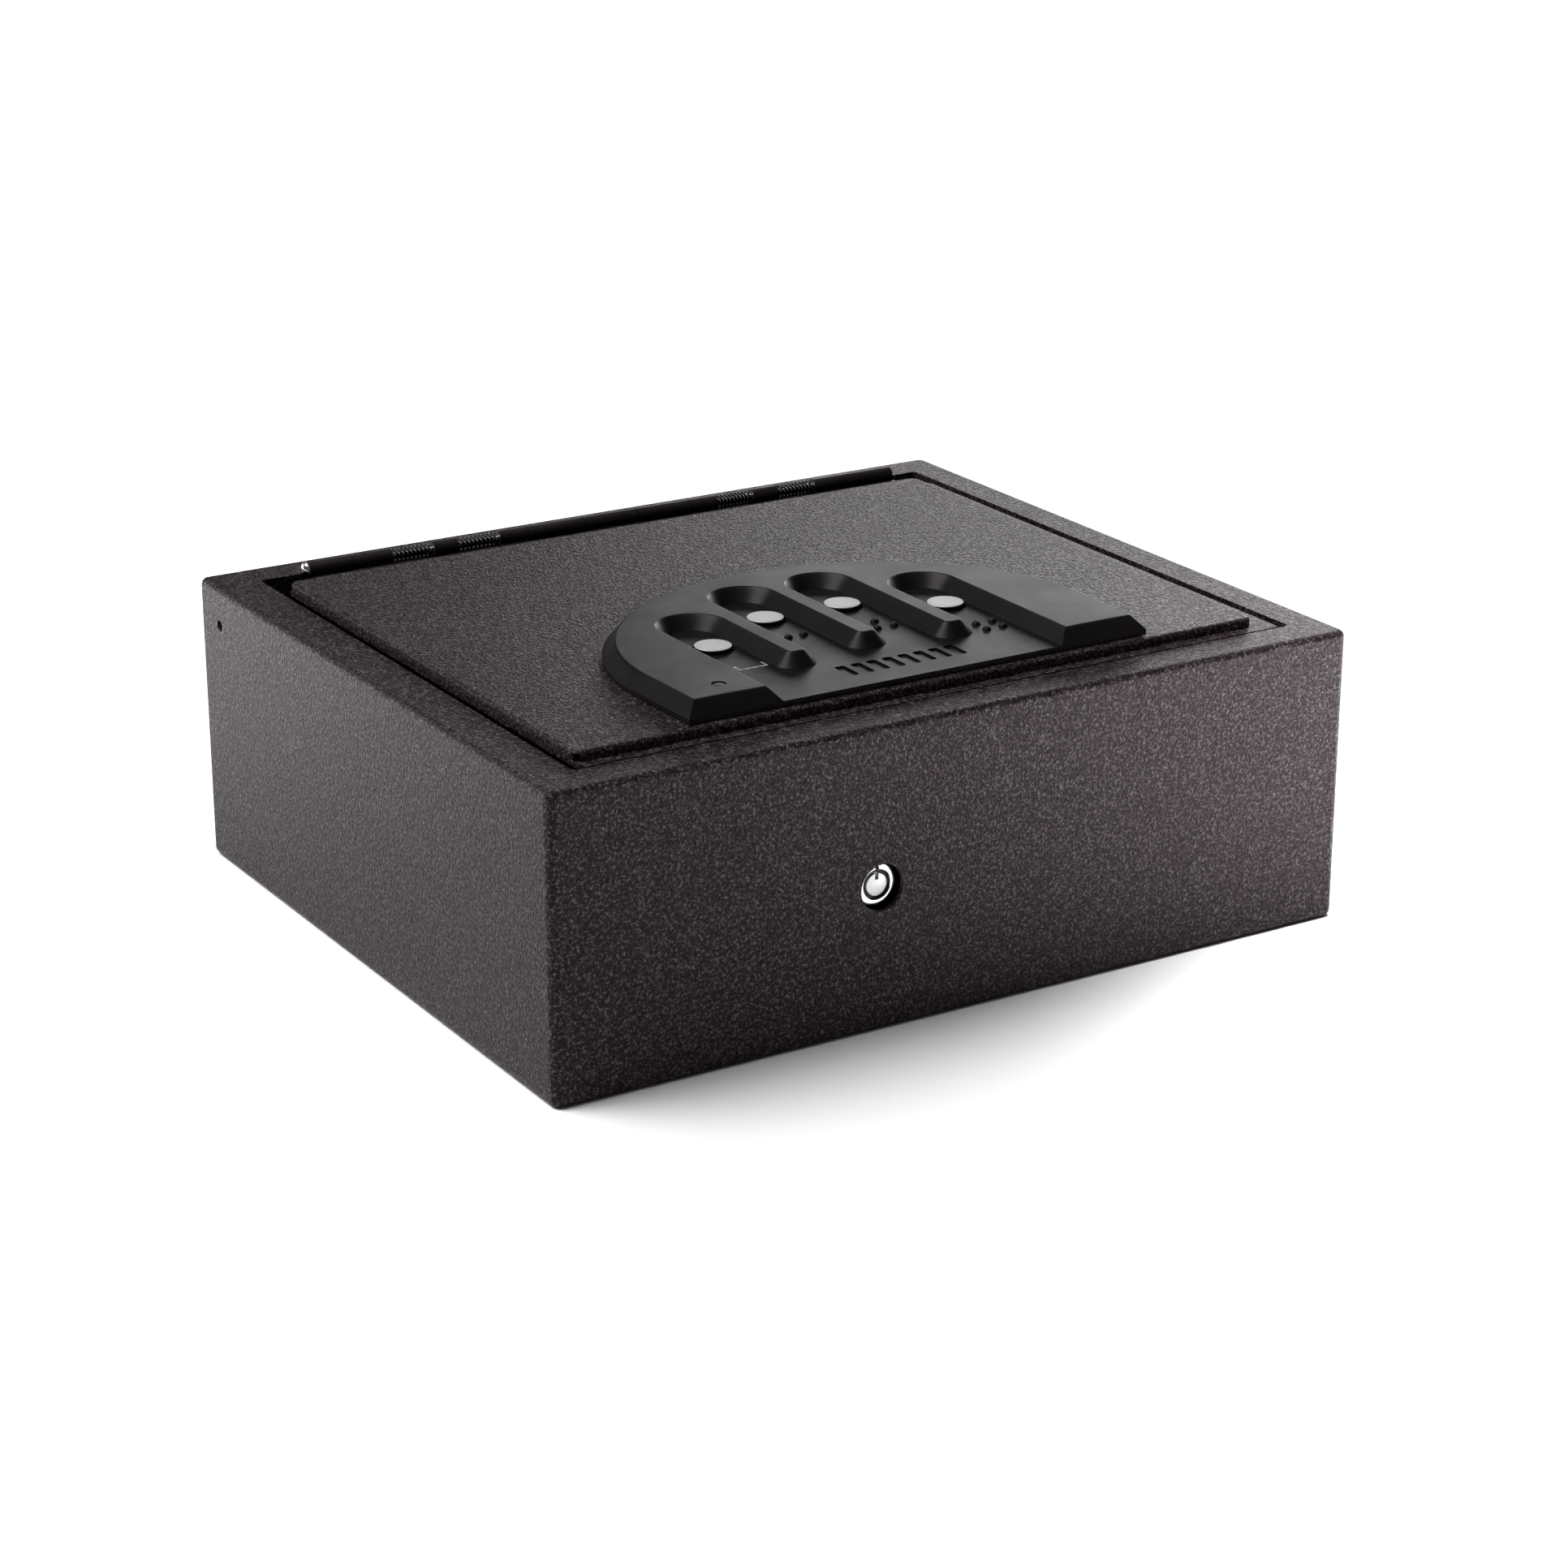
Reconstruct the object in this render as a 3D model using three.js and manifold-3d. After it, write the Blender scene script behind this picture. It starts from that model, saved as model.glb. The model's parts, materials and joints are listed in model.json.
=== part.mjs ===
// Top-opening pistol safe: a sheet-steel case with a sprung hinged lid, a moulded finger-guide
// keypad with four push buttons, a solenoid latch under the lid and an override key lock.
// Millimetres, +Z up, X along the front, the front face towards -Y.
// The origin is the bottom centre of the case.

import * as THREE from 'three';
import { mergeVertices } from 'three/addons/utils/BufferGeometryUtils.js';
import Module from 'manifold-3d';

const wasm = await Module();
wasm.setup();

// ---- Driving dimensions ------------------------------------------------------------------

const GAP = 0.3; // clearance left between pieces that rest on each other

const CASE = { width: 337, depth: 287, height: 114.3, wall: 2, edge: 2.5, corner: 3.5 };
const MOUTH = { left: -150.2, right: 153.4, front: -127.3, back: 126, corner: 2, lip: 8 };
const CABLE_HOLE = { radius: 2.2, y: 124.7, z: 99.2 };
const FLOOR_HOLE = { radius: 4.5, x: 110, y: 90 };
const FLOOR_FOAM = { margin: 4.5, thickness: 8 };

// The lid's own heights are measured from the rim of the case.
const LID = { left: -146.3, right: 149.3, front: -126.5, back: 108, sheet: 1.6, corner: 2 };
const RAISED = { right: 141.5, front: -121.5, height: 3.7, edge: 1.3, corner: 4, side: 2 };
const INNER = { left: -143.5, right: 146.5, front: -123, back: 112, top: -1.9, bottom: -3.4 };
const UNDERSIDE = INNER.bottom - GAP;
const LID_FOAM = { left: -138, right: 140, front: -56, back: 96, thickness: 12 };

const HINGE = {
  y: 122.8, z: 2.1, radius: 3.1, bore: 1.5, pin: 1.35, head: 3.3, headLength: 2, gap: 0.2, sheet: 1.2,
};
const KNUCKLES = [ // ends along X, and the leaf each knuckle is rolled from
  [-131.8, -112.8, 'case'], [-112.8, -95.7, 'lid'], [-78, -66.7, 'case'], [-48.7, -35.7, 'lid'],
  [-35.7, -10.1, 'case'], [-10.1, 14.7, 'lid'], [14.7, 39.8, 'case'], [39.8, 52.8, 'lid'],
  [69.4, 82.1, 'case'], [99.4, 111.6, 'lid'], [111.6, 138.3, 'case'],
];
const SPRING_BAYS = [[-95.7, -78], [-66.7, -48.7], [52.8, 69.4], [82.1, 99.4]];
const TORSION_SPRING = { radius: 2.45, wire: 0.5, turns: 6 };

// Keypad housing: a D-shaped moulding, straight at the front and curved at the back.
const PAD = {
  x: -3, halfWidth: 97.9, front: -118.2, arcY: -80, arcDepth: 90.1,
  bottom: 4, floor: 6, footTop: 6.2, top: 11.2, slope: 4.6,
};
const FINGER = { pitch: 33.6, halfWidth: 13.3, slope: 4.8, outerEnd: -27, innerEnd: -7.5 };
const RIDGE = { outerEnd: -86.4, innerEnd: -80.2, noseRadius: 2.2, palmBack: -71.9 };
const BUTTON = {
  outerY: -55.3, innerY: -36.2, cap: 6.9, capLow: 7, capHigh: 7.7, stem: 6.4, stemLow: 5.1,
  neck: 4.2, neckLow: 2.8, peg: 2, hole: 7.9, lidHole: 4.8,
};
const DOT = { radius: 1.6, tip: 0.7, height: 1.5, spread: 3.6 };
const STATUS = { x: -79.5, y: -103.5, radius: 2.75, depth: 1.6 };
const GRIP_SLOT = { count: 8, pitch: 6.6, width: 4.2, length: 11, depth: 0.5, x: -2.5, y: -101.5 };
const KEY_BOARD = { left: -64, right: 58, front: -66, back: -26, bottom: -0.9, top: 0.3 };

// Override lock in the front wall, with a cam that pushes the latch back.
const LOCK = {
  x: -37, z: 54, hole: 8.75, shell: 8, bore: 5.6, post: 4.3, plug: 5.3, stub: 3,
  front: -139.9, back: -119, keyway: 7, plate: -131,
};
const CAM = { hub: 7.5, width: 10, reach: 26, front: -118.4, back: -116.4 };

// Latch: a bolt that slides along X under the lid, released at rest.
const BOLT = {
  left: -80, right: -4, y: -108, depth: 12, z: -15.3, thickness: 4,
  tongue: [-44, -32], tongueFront: -126, tab: [-31.5, -25.5], tabLow: -42.3,
};
const BRACKET = { left: -74, right: -16, front: -121, back: -97, bottom: -22, sheet: 1.5 };
const KEEPER = { left: -66, right: -46, back: -117, low: 102.2, high: 104.7 };
const PLUNGER = { radius: 3.8, shoulder: 6, right: 30 };
const SOLENOID = { left: 10, right: 44, size: 21, bore: 4.1 };
const LATCH_SPRING = { radius: 4.9, wire: 0.5, turns: 5 };

// Control box under the front of the lid.
const BOX = { left: 6, right: 130, front: -122, back: -62, bottom: -30.3, wall: 2 };
const BAY = { left: 70, right: 122.5, front: -118, back: -89.5 };
const BATTERY = { left: 72, front: -117, bottom: -27.8, length: 48.5, depth: 26.5, height: 17.5 };
const COVER = { left: 66, right: 126, front: -119.6, back: -88, top: -30.6, bottom: -32.3 };
const STOP = { x: [-136, 141.2], halfWidth: 10, y: -117, low: 103.5, high: 105, pad: 5 };

// ---- Solids from three.js geometries -----------------------------------------------------

function solid(geometry) {
  geometry.deleteAttribute('normal');
  geometry.deleteAttribute('uv');
  const merged = mergeVertices(geometry, 1e-4);
  const mesh = new wasm.Mesh({
    numProp: 3,
    vertProperties: new Float32Array(merged.attributes.position.array),
    triVerts: new Uint32Array(merged.index.array),
  });
  return new wasm.Manifold(mesh);
}

function box(x0, x1, y0, y1, z0, z1) {
  const geometry = new THREE.BoxGeometry(x1 - x0, y1 - y0, z1 - z0);
  geometry.translate((x0 + x1) / 2, (y0 + y1) / 2, (z0 + z1) / 2);
  return solid(geometry);
}

// A round bar between two stations on the axis 'x', 'y' or 'z' through the point centre.
function bar(axis, from, to, centre, radius, segments = 24, endRadius = radius) {
  const geometry = new THREE.CylinderGeometry(endRadius, radius, to - from, segments);
  const middle = (from + to) / 2;
  if (axis === 'x') geometry.rotateZ(-Math.PI / 2).translate(middle, centre[0], centre[1]);
  if (axis === 'y') geometry.translate(centre[0], middle, centre[1]);
  if (axis === 'z') geometry.rotateX(Math.PI / 2).translate(centre[0], centre[1], middle);
  return solid(geometry);
}

// A flat outline raised from low to high, with both rims cut back by the bevel if it is given.
function prism(outline, low, high, bevel = { size: 0, height: 0, segments: 0 }, curve = 4) {
  const geometry = new THREE.ExtrudeGeometry(outline, {
    depth: high - low - 2 * bevel.height,
    bevelEnabled: bevel.size > 0,
    bevelSize: bevel.size,
    bevelThickness: bevel.height,
    bevelOffset: -bevel.size,
    bevelSegments: bevel.segments,
    curveSegments: curve,
  });
  geometry.translate(0, 0, low + bevel.height);
  return solid(geometry);
}

function roundedRectangle(x0, x1, y0, y1, r) {
  const outline = new THREE.Shape();
  outline.absarc(x1 - r, y0 + r, r, -Math.PI / 2, 0);
  outline.absarc(x1 - r, y1 - r, r, 0, Math.PI / 2);
  outline.absarc(x0 + r, y1 - r, r, Math.PI / 2, Math.PI);
  outline.absarc(x0 + r, y0 + r, r, Math.PI, 1.5 * Math.PI);
  return outline;
}

class Helix extends THREE.Curve {
  constructor(x0, x1, radius, turns) {
    super();
    Object.assign(this, { x0, x1, radius, turns });
  }

  getPoint(t, target = new THREE.Vector3()) {
    const angle = 2 * Math.PI * this.turns * t;
    const x = THREE.MathUtils.lerp(this.x0, this.x1, t);
    return target.set(x, this.radius * Math.cos(angle), this.radius * Math.sin(angle));
  }
}

// A coil of wire around the X axis.
function coil(x0, x1, spring) {
  const section = new THREE.Shape();
  section.absarc(0, 0, spring.wire, 0, 2 * Math.PI);
  return solid(new THREE.ExtrudeGeometry(section, {
    steps: spring.turns * 9,
    curveSegments: 3,
    bevelEnabled: false,
    extrudePath: new Helix(x0, x1, spring.radius, spring.turns),
  }));
}

const join = (...solids) => solids.reduce((sum, next) => sum.add(next));
const cut = (base, ...tools) => tools.reduce((rest, tool) => rest.subtract(tool), base);

// ---- Looks -------------------------------------------------------------------------------

const LOOKS = {
  powderCoat: { color: 0x2b2829, roughness: 0.55, metalness: 0.3 },
  moulding: { color: 0x1d1c1d, roughness: 0.6, metalness: 0 },
  darkSteel: { color: 0x1a1718, roughness: 0.45, metalness: 0.6 },
  zinc: { color: 0xa9abad, roughness: 0.35, metalness: 0.9 },
  chrome: { color: 0xd6d6d8, roughness: 0.15, metalness: 1 },
  buttonMetal: { color: 0xb9b8ba, roughness: 0.4, metalness: 0.9 },
  rubber: { color: 0x0d0d0d, roughness: 0.9, metalness: 0 },
  foam: { color: 0x1f1f21, roughness: 1, metalness: 0 },
  board: { color: 0x1f4a2c, roughness: 0.5, metalness: 0 },
  battery: { color: 0x4a4d55, roughness: 0.4, metalness: 0.2 },
  lens: { color: 0x3a0c0c, roughness: 0.2, metalness: 0 },
};

function piece(name, shape, look, position = [0, 0, 0]) {
  const { vertProperties, triVerts } = shape.getMesh();
  const geometry = new THREE.BufferGeometry();
  geometry.setAttribute('position', new THREE.BufferAttribute(vertProperties, 3));
  geometry.setIndex(new THREE.BufferAttribute(triVerts, 1));
  geometry.computeVertexNormals();
  const mesh = new THREE.Mesh(geometry, new THREE.MeshStandardMaterial(LOOKS[look]));
  mesh.name = name;
  mesh.position.set(...position);
  return mesh;
}

const safe = new THREE.Group();
const lid = new THREE.Group();
lid.position.z = CASE.height;
safe.add(lid);

// ---- Case --------------------------------------------------------------------------------

const halfWidth = CASE.width / 2;
const halfDepth = CASE.depth / 2;
const frontInside = CASE.wall - halfDepth;

function caseShell() {
  const { wall, height } = CASE;
  const outline = roundedRectangle(-halfWidth, halfWidth, -halfDepth, halfDepth, CASE.corner);
  const outside = prism(outline, 0, height, { size: CASE.edge, height: CASE.edge, segments: 3 });
  const inside = box(wall - halfWidth, halfWidth - wall, frontInside, halfDepth - wall,
    wall, height - wall);
  const { left, right, front, back, corner, lip } = MOUTH;
  const turnedIn = prism(roundedRectangle(left - wall, right + wall, front - wall, back + wall,
    corner + wall), height - lip, height - wall / 2);
  const mouth = prism(roundedRectangle(left, right, front, back, corner),
    height - lip - 1, height + 1);
  const holes = [
    bar('y', -halfDepth - 1, frontInside + 1, [LOCK.x, LOCK.z], LOCK.hole, 32),
    bar('x', -halfWidth - 1, wall - halfWidth + 1, [CABLE_HOLE.y, CABLE_HOLE.z],
      CABLE_HOLE.radius, 16),
  ];
  for (const x of [-FLOOR_HOLE.x, FLOOR_HOLE.x]) {
    for (const y of [-FLOOR_HOLE.y, FLOOR_HOLE.y]) {
      holes.push(bar('z', -1, wall + 1, [x, y], FLOOR_HOLE.radius, 16));
    }
  }
  return cut(join(cut(outside, inside), turnedIn), mouth, ...holes);
}

safe.add(piece('case_shell', caseShell(), 'powderCoat'));

const foamX = halfWidth - FLOOR_FOAM.margin;
const foamY = halfDepth - FLOOR_FOAM.margin;
const foamLow = CASE.wall + GAP;
safe.add(piece('floor_foam',
  box(-foamX, foamX, -foamY, foamY, foamLow, foamLow + FLOOR_FOAM.thickness), 'foam'));

// The keeper is an angle on the front wall; the bolt's tongue slides under its tab.
function keeper() {
  const wallFace = frontInside + GAP;
  const foot = box(KEEPER.left - 6, KEEPER.right + 4, wallFace, wallFace + 2,
    KEEPER.low - 12, KEEPER.high);
  const tab = box(KEEPER.left, KEEPER.right, wallFace, KEEPER.back, KEEPER.low, KEEPER.high);
  return join(foot, tab);
}

safe.add(piece('latch_keeper', keeper(), 'zinc'));

STOP.x.forEach((x, i) => {
  const side = ['left', 'right'][i];
  const wallFace = frontInside + GAP;
  const foot = box(-STOP.halfWidth, STOP.halfWidth, wallFace, wallFace + 1.5,
    STOP.low - 12, STOP.high);
  const shelf = box(-STOP.halfWidth, STOP.halfWidth, wallFace, STOP.y + 7, STOP.low, STOP.high);
  safe.add(piece(`lid_stop_${side}`, join(foot, shelf), 'zinc', [x, 0, 0]));
  const padLow = STOP.high + GAP;
  const padHigh = CASE.height + UNDERSIDE;
  safe.add(piece(`stop_pad_${side}`, bar('z', padLow, padHigh, [0, 0], STOP.pad, 16), 'rubber',
    [x, STOP.y, 0]));
});

// ---- Override lock -----------------------------------------------------------------------

const lockGroup = new THREE.Group();
lockGroup.position.set(LOCK.x, 0, LOCK.z);
safe.add(lockGroup);

function lockMount() {
  const plate = box(-20, 20, LOCK.plate, LOCK.plate + 2, -16, 16);
  const flanges = [-20, 18].map((x) =>
    box(x, x + 2, frontInside + GAP, LOCK.plate + 2, -16, 16));
  return cut(join(plate, ...flanges),
    bar('y', LOCK.plate - 1, LOCK.plate + 3, [0, 0], LOCK.shell + GAP, 32));
}

function lockShell() {
  const barrel = bar('y', LOCK.front, LOCK.back, [0, 0], LOCK.shell, 32);
  const collar = bar('y', LOCK.plate - 2 - GAP, LOCK.plate - GAP, [0, 0], LOCK.shell + 1.5, 32);
  const bore = bar('y', LOCK.front - 1, LOCK.back + 1, [0, 0], LOCK.bore, 32);
  const keyNotch = box(-0.75, 0.75, LOCK.front - 1, LOCK.front + 2.5, LOCK.bore - 1,
    LOCK.bore + 1.3);
  return cut(join(barrel, collar), bore, keyNotch);
}

function lockPlug() {
  const post = bar('y', LOCK.front + 0.2, LOCK.front + LOCK.keyway + 1, [0, 0], LOCK.post, 24);
  const body = bar('y', LOCK.front + LOCK.keyway, LOCK.back + GAP, [0, 0], LOCK.plug, 24);
  const stub = bar('y', LOCK.back, CAM.back, [0, 0], LOCK.stub, 16);
  const screwHole = bar('y', CAM.back - 7, CAM.back + 1, [0, 0], 1.7, 12);
  const pinSlot = box(-0.75, 0.75, LOCK.front - 1, LOCK.front + 2, LOCK.post - 2.4, LOCK.post + 1);
  return cut(join(post, body, stub), screwHole, pinSlot);
}

function lockCam() {
  const sheet = (outline) => {
    const geometry = new THREE.ExtrudeGeometry(outline,
      { depth: CAM.back - CAM.front, bevelEnabled: false, curveSegments: 12 });
    return solid(geometry.rotateX(Math.PI / 2).translate(0, CAM.back, 0));
  };
  const hub = new THREE.Shape();
  hub.absarc(0, 0, CAM.hub, 0, 2 * Math.PI);
  const arm = roundedRectangle(-CAM.reach, 0, -CAM.width / 2, CAM.width / 2, 3);
  return cut(join(sheet(hub), sheet(arm)),
    bar('y', CAM.front - 1, CAM.back + 1, [0, 0], LOCK.stub + GAP, 16));
}

function camScrew() {
  const head = bar('y', CAM.back + GAP, CAM.back + 2.5, [0, 0], 4.2, 16);
  const shank = bar('y', CAM.back - 6, CAM.back + 1, [0, 0], 1.35, 12);
  return join(head, shank);
}

const nut = cut(bar('y', LOCK.plate + 2 + GAP, LOCK.plate + 7, [0, 0], 11.5, 6),
  bar('y', LOCK.plate, LOCK.plate + 9, [0, 0], LOCK.shell + GAP, 32));
lockGroup.add(
  piece('lock_mount', lockMount(), 'zinc'),
  piece('lock_shell', lockShell(), 'chrome'),
  piece('lock_nut', nut, 'zinc'),
  piece('lock_plug', lockPlug(), 'chrome'),
  piece('lock_cam', lockCam(), 'zinc'),
  piece('cam_screw', camScrew(), 'zinc'),
);

// ---- Hinge -------------------------------------------------------------------------------

const hingeGroup = new THREE.Group();
hingeGroup.position.set(0, HINGE.y, HINGE.z);
lid.add(hingeGroup);

const hingeLeft = KNUCKLES[0][0] + HINGE.gap;
const hingeRight = KNUCKLES[KNUCKLES.length - 1][1] - HINGE.gap;

// One leaf: a flat strip with a tab and a rolled knuckle for each of its places on the pin.
function hingeLeaf(side, strip, tab) {
  const mine = KNUCKLES.filter((knuckle) => knuckle[2] === side);
  const knuckles = mine.map(([from, to]) => {
    const x0 = from + HINGE.gap;
    const x1 = to - HINGE.gap;
    return join(bar('x', x0, x1, [0, 0], HINGE.radius, 20), tab(x0, x1));
  });
  const bore = bar('x', hingeLeft - 5, hingeRight + 5, [0, 0], HINGE.bore, 16);
  return cut(join(strip, ...knuckles), bore);
}

const clearOfBarrel = HINGE.radius + 0.7;
const caseLeafFace = MOUTH.back - GAP - 0.1 - HINGE.y; // just inside the lip of the mouth
const caseLeaf = hingeLeaf('case',
  box(hingeLeft, hingeRight, caseLeafFace - HINGE.sheet, caseLeafFace, -18, -clearOfBarrel),
  (x0, x1) => box(x0, x1, caseLeafFace - HINGE.sheet, caseLeafFace, -clearOfBarrel - 1, 0));
const lidLeaf = hingeLeaf('lid',
  box(hingeLeft, hingeRight, -24, -clearOfBarrel, -HINGE.radius, HINGE.sheet - HINGE.radius),
  (x0, x1) => box(x0, x1, -clearOfBarrel - 1, 0, -HINGE.radius, HINGE.sheet - HINGE.radius));
const headRight = hingeLeft - HINGE.gap;
const pinHead = bar('x', headRight - HINGE.headLength, headRight, [0, 0], HINGE.head, 20);
const pin = join(bar('x', hingeLeft - 1, hingeRight + 0.6, [0, 0], HINGE.pin, 16), pinHead);

hingeGroup.add(
  piece('hinge_case_leaf', caseLeaf, 'darkSteel'),
  piece('hinge_lid_leaf', lidLeaf, 'darkSteel'),
  piece('hinge_pin', pin, 'chrome'),
);
SPRING_BAYS.forEach(([from, to], i) => {
  const half = (to - from) / 2 - TORSION_SPRING.wire - 2 * HINGE.gap;
  hingeGroup.add(piece(`torsion_spring_${i + 1}`, coil(-half, half, TORSION_SPRING),
    'darkSteel', [(from + to) / 2, 0, 0]));
});

// ---- Lid ---------------------------------------------------------------------------------

const fingers = [-1.5, -0.5, 0.5, 1.5].map((step, i) => ({
  number: i + 1,
  x: PAD.x + step * FINGER.pitch,
  end: Math.abs(step) > 1 ? FINGER.outerEnd : FINGER.innerEnd,
  button: Math.abs(step) > 1 ? BUTTON.outerY : BUTTON.innerY,
}));

const screwPlaces = [
  [BOX.left - 5, BOX.back - 8], [BOX.right + 5, BOX.back - 8], [BOX.right + 5, BOX.front + 24],
];
const rivetPlaces = [[BRACKET.left + 14, -103], [BRACKET.right - 14, -103]];

function lidPanel() {
  const sheet = prism(roundedRectangle(LID.left, LID.right, LID.front, LID.back, LID.corner),
    -LID.sheet, 0);
  const raised = prism(
    roundedRectangle(LID.left, RAISED.right, RAISED.front, LID.back, RAISED.corner),
    -LID.sheet, RAISED.height, { size: RAISED.edge, height: RAISED.edge, segments: 3 });
  const recess = box(LID.left + RAISED.side, RAISED.right - RAISED.side,
    RAISED.front + RAISED.side, LID.back - RAISED.side,
    -LID.sheet - 1, RAISED.height - LID.sheet);
  const leafSlot = box(hingeLeft - 0.5, hingeRight + 0.5, LID.back - RAISED.side - 1,
    LID.back + 1, -LID.sheet - 1, HINGE.z - HINGE.radius + HINGE.sheet + GAP);
  const holes = fingers.map(({ x, button }) =>
    bar('z', 0, RAISED.height + 1, [x, button], BUTTON.lidHole, 20));
  return cut(join(sheet, raised), recess, leafSlot, ...holes);
}

function innerPlate() {
  const plate = box(INNER.left, INNER.right, INNER.front, INNER.back, INNER.bottom, INNER.top);
  const wireHole = bar('z', INNER.bottom - 1, INNER.top + 1, [54, -72], 5, 16);
  const fixings = [...screwPlaces, ...rivetPlaces].map((place) =>
    bar('z', INNER.bottom - 1, INNER.top + 1, place, 1.8, 12));
  return cut(plate, wireHole, ...fixings);
}

const lidFoam = box(LID_FOAM.left, LID_FOAM.right, LID_FOAM.front, LID_FOAM.back,
  UNDERSIDE - LID_FOAM.thickness, UNDERSIDE);

lid.add(
  piece('lid_panel', lidPanel(), 'powderCoat'),
  piece('lid_inner_plate', innerPlate(), 'powderCoat'),
  piece('lid_foam', lidFoam, 'foam'),
);

// ---- Keypad ------------------------------------------------------------------------------

function padOutline() {
  const { x, halfWidth: half, front, arcY, arcDepth } = PAD;
  const outline = new THREE.Shape();
  outline.moveTo(x + half - 1, front);
  outline.lineTo(x + half, arcY);
  outline.absellipse(x, arcY, half, arcDepth, 0, Math.PI);
  outline.lineTo(x - half + 1, front);
  return outline;
}

// A finger channel: flat floor, sloping sides, a round back end, open at the front.
function fingerChannel({ x, end }) {
  const half = FINGER.halfWidth;
  const outline = new THREE.Shape();
  outline.moveTo(x + half, PAD.front - 12);
  outline.lineTo(x + half, end - half);
  outline.absarc(x, end - half, half, 0, Math.PI);
  outline.lineTo(x - half, PAD.front - 12);
  return hollow(outline);
}

function hollow(outline) {
  const height = PAD.top - PAD.floor;
  return prism(outline, PAD.floor, PAD.top + height + 1,
    { size: FINGER.slope, height, segments: 1 }, 7);
}

// The front end of a ridge between two channels, with sloping sides and a blunt rounded nose.
// Its foot runs on below the floor of the channels, into the moulding.
function ridgeEnd(x, end, palmBack) {
  const inset = 0.02;
  const low = PAD.floor - 1;
  const high = PAD.top - inset;
  const top = FINGER.pitch / 2 - FINGER.halfWidth - inset;
  const spread = FINGER.slope * (high - low) / (PAD.top - PAD.floor);
  const outline = roundedRectangle(x - top - spread, x + top + spread, end - spread,
    palmBack + 2 * spread, RIDGE.noseRadius + spread);
  const hump = prism(outline, 2 * low - high, high,
    { size: spread, height: high - low, segments: 1 }, 6);
  return cut(hump, box(x - 20, x + 20, end - 20, palmBack + 30, low - 20, low));
}

function keypadHousing() {
  const blank = cut(
    prism(padOutline(), PAD.footTop - 12, PAD.top,
      { size: PAD.slope, height: PAD.top - PAD.footTop, segments: 1 }, 16),
    box(-200, 200, -200, 200, PAD.footTop - 14, PAD.bottom));
  const { palmBack } = RIDGE;
  const palm = new THREE.Shape();
  const left = fingers[0].x - FINGER.halfWidth;
  const right = fingers[3].x + FINGER.halfWidth;
  palm.moveTo(left, PAD.front - 12);
  palm.lineTo(right, PAD.front - 12);
  palm.lineTo(right, palmBack);
  palm.lineTo(left, palmBack);
  const ridges = [RIDGE.outerEnd, RIDGE.innerEnd, RIDGE.outerEnd].map((end, i) =>
    ridgeEnd((fingers[i].x + fingers[i + 1].x) / 2, end, palmBack));
  const open = cut(blank, ...fingers.map(fingerChannel), hollow(palm));
  const buttonHoles = fingers.map(({ x, button }) =>
    bar('z', PAD.bottom - 1, PAD.floor + 1, [x, button], BUTTON.hole, 20));
  return join(cut(join(open, ...ridges), ...buttonHoles, ...padRecesses()), ...raisedDots());
}

// Groups of raised dots that number buttons 2 to 4.
function raisedDots() {
  const { radius, tip, height, spread } = DOT;
  return [
    [fingers[1].x - spread, -58.5], [fingers[1].x + spread - 0.8, -58.5],
    [fingers[2].x, -58.7], [fingers[2].x - spread, -66.2], [fingers[2].x + spread, -66.2],
    [fingers[3].x - spread, -81], [fingers[3].x + spread, -81],
    [fingers[3].x - spread, -88], [fingers[3].x + spread, -88],
  ].map((place) => bar('z', PAD.floor - 0.5, PAD.floor + height, place, radius, 10, tip));
}

// The recess of the status window and a row of grip slots.
function padRecesses() {
  const recess = bar('z', PAD.top - STATUS.depth, PAD.top + 1, [STATUS.x, STATUS.y],
    STATUS.radius, 16);
  const { count, pitch, width, length, depth, x, y } = GRIP_SLOT;
  const slots = Array.from({ length: count }, (_, i) => {
    const middle = x + (i - (count - 1) / 2) * pitch;
    return box(middle - width / 2, middle + width / 2, y - length / 2, y + length / 2,
      PAD.floor - depth, PAD.floor + 1);
  });
  return [recess, ...slots];
}

function keypadBoard() {
  const { left, right, front, back, bottom, top } = KEY_BOARD;
  const board = box(left, right, front, back, bottom, top);
  const feet = [[left + 4, front + 4], [right - 4, front + 4], [left + 4, back - 4],
    [right - 4, back - 4]].map((place) =>
    bar('z', INNER.top + GAP, bottom + 0.2, place, 2, 8));
  const switches = fingers.map(({ x, button }) => bar('z', top - 0.1, top + 1, [x, button], 3, 12));
  return join(board, ...feet, ...switches);
}

lid.add(
  piece('keypad_housing', keypadHousing(), 'moulding'),
  piece('keypad_board', keypadBoard(), 'board'),
  piece('status_lens',
    bar('z', PAD.top - STATUS.depth + GAP, PAD.top - 0.7, [0, 0], STATUS.radius - GAP, 16), 'lens',
    [STATUS.x, STATUS.y, 0]),
);

for (const { number, x, button } of fingers) {
  const cap = join(
    bar('z', BUTTON.capLow, BUTTON.capHigh, [0, 0], BUTTON.cap, 28, BUTTON.cap - 0.25),
    bar('z', BUTTON.neckLow + 2, BUTTON.capLow + 0.2, [0, 0], BUTTON.peg, 12));
  const stem = cut(
    join(
      bar('z', BUTTON.stemLow, BUTTON.capLow - GAP, [0, 0], BUTTON.stem, 24),
      bar('z', BUTTON.neckLow, BUTTON.stemLow + 0.2, [0, 0], BUTTON.neck, 16)),
    bar('z', BUTTON.neckLow + 2 - GAP, BUTTON.capLow, [0, 0], BUTTON.peg + GAP, 12));
  const button3d = new THREE.Group();
  button3d.position.set(x, button, 0);
  button3d.add(
    piece(`button_cap_${number}`, cap, 'buttonMetal'),
    piece(`button_stem_${number}`, stem, 'rubber'),
  );
  lid.add(button3d);
}

// ---- Latch -------------------------------------------------------------------------------

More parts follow.
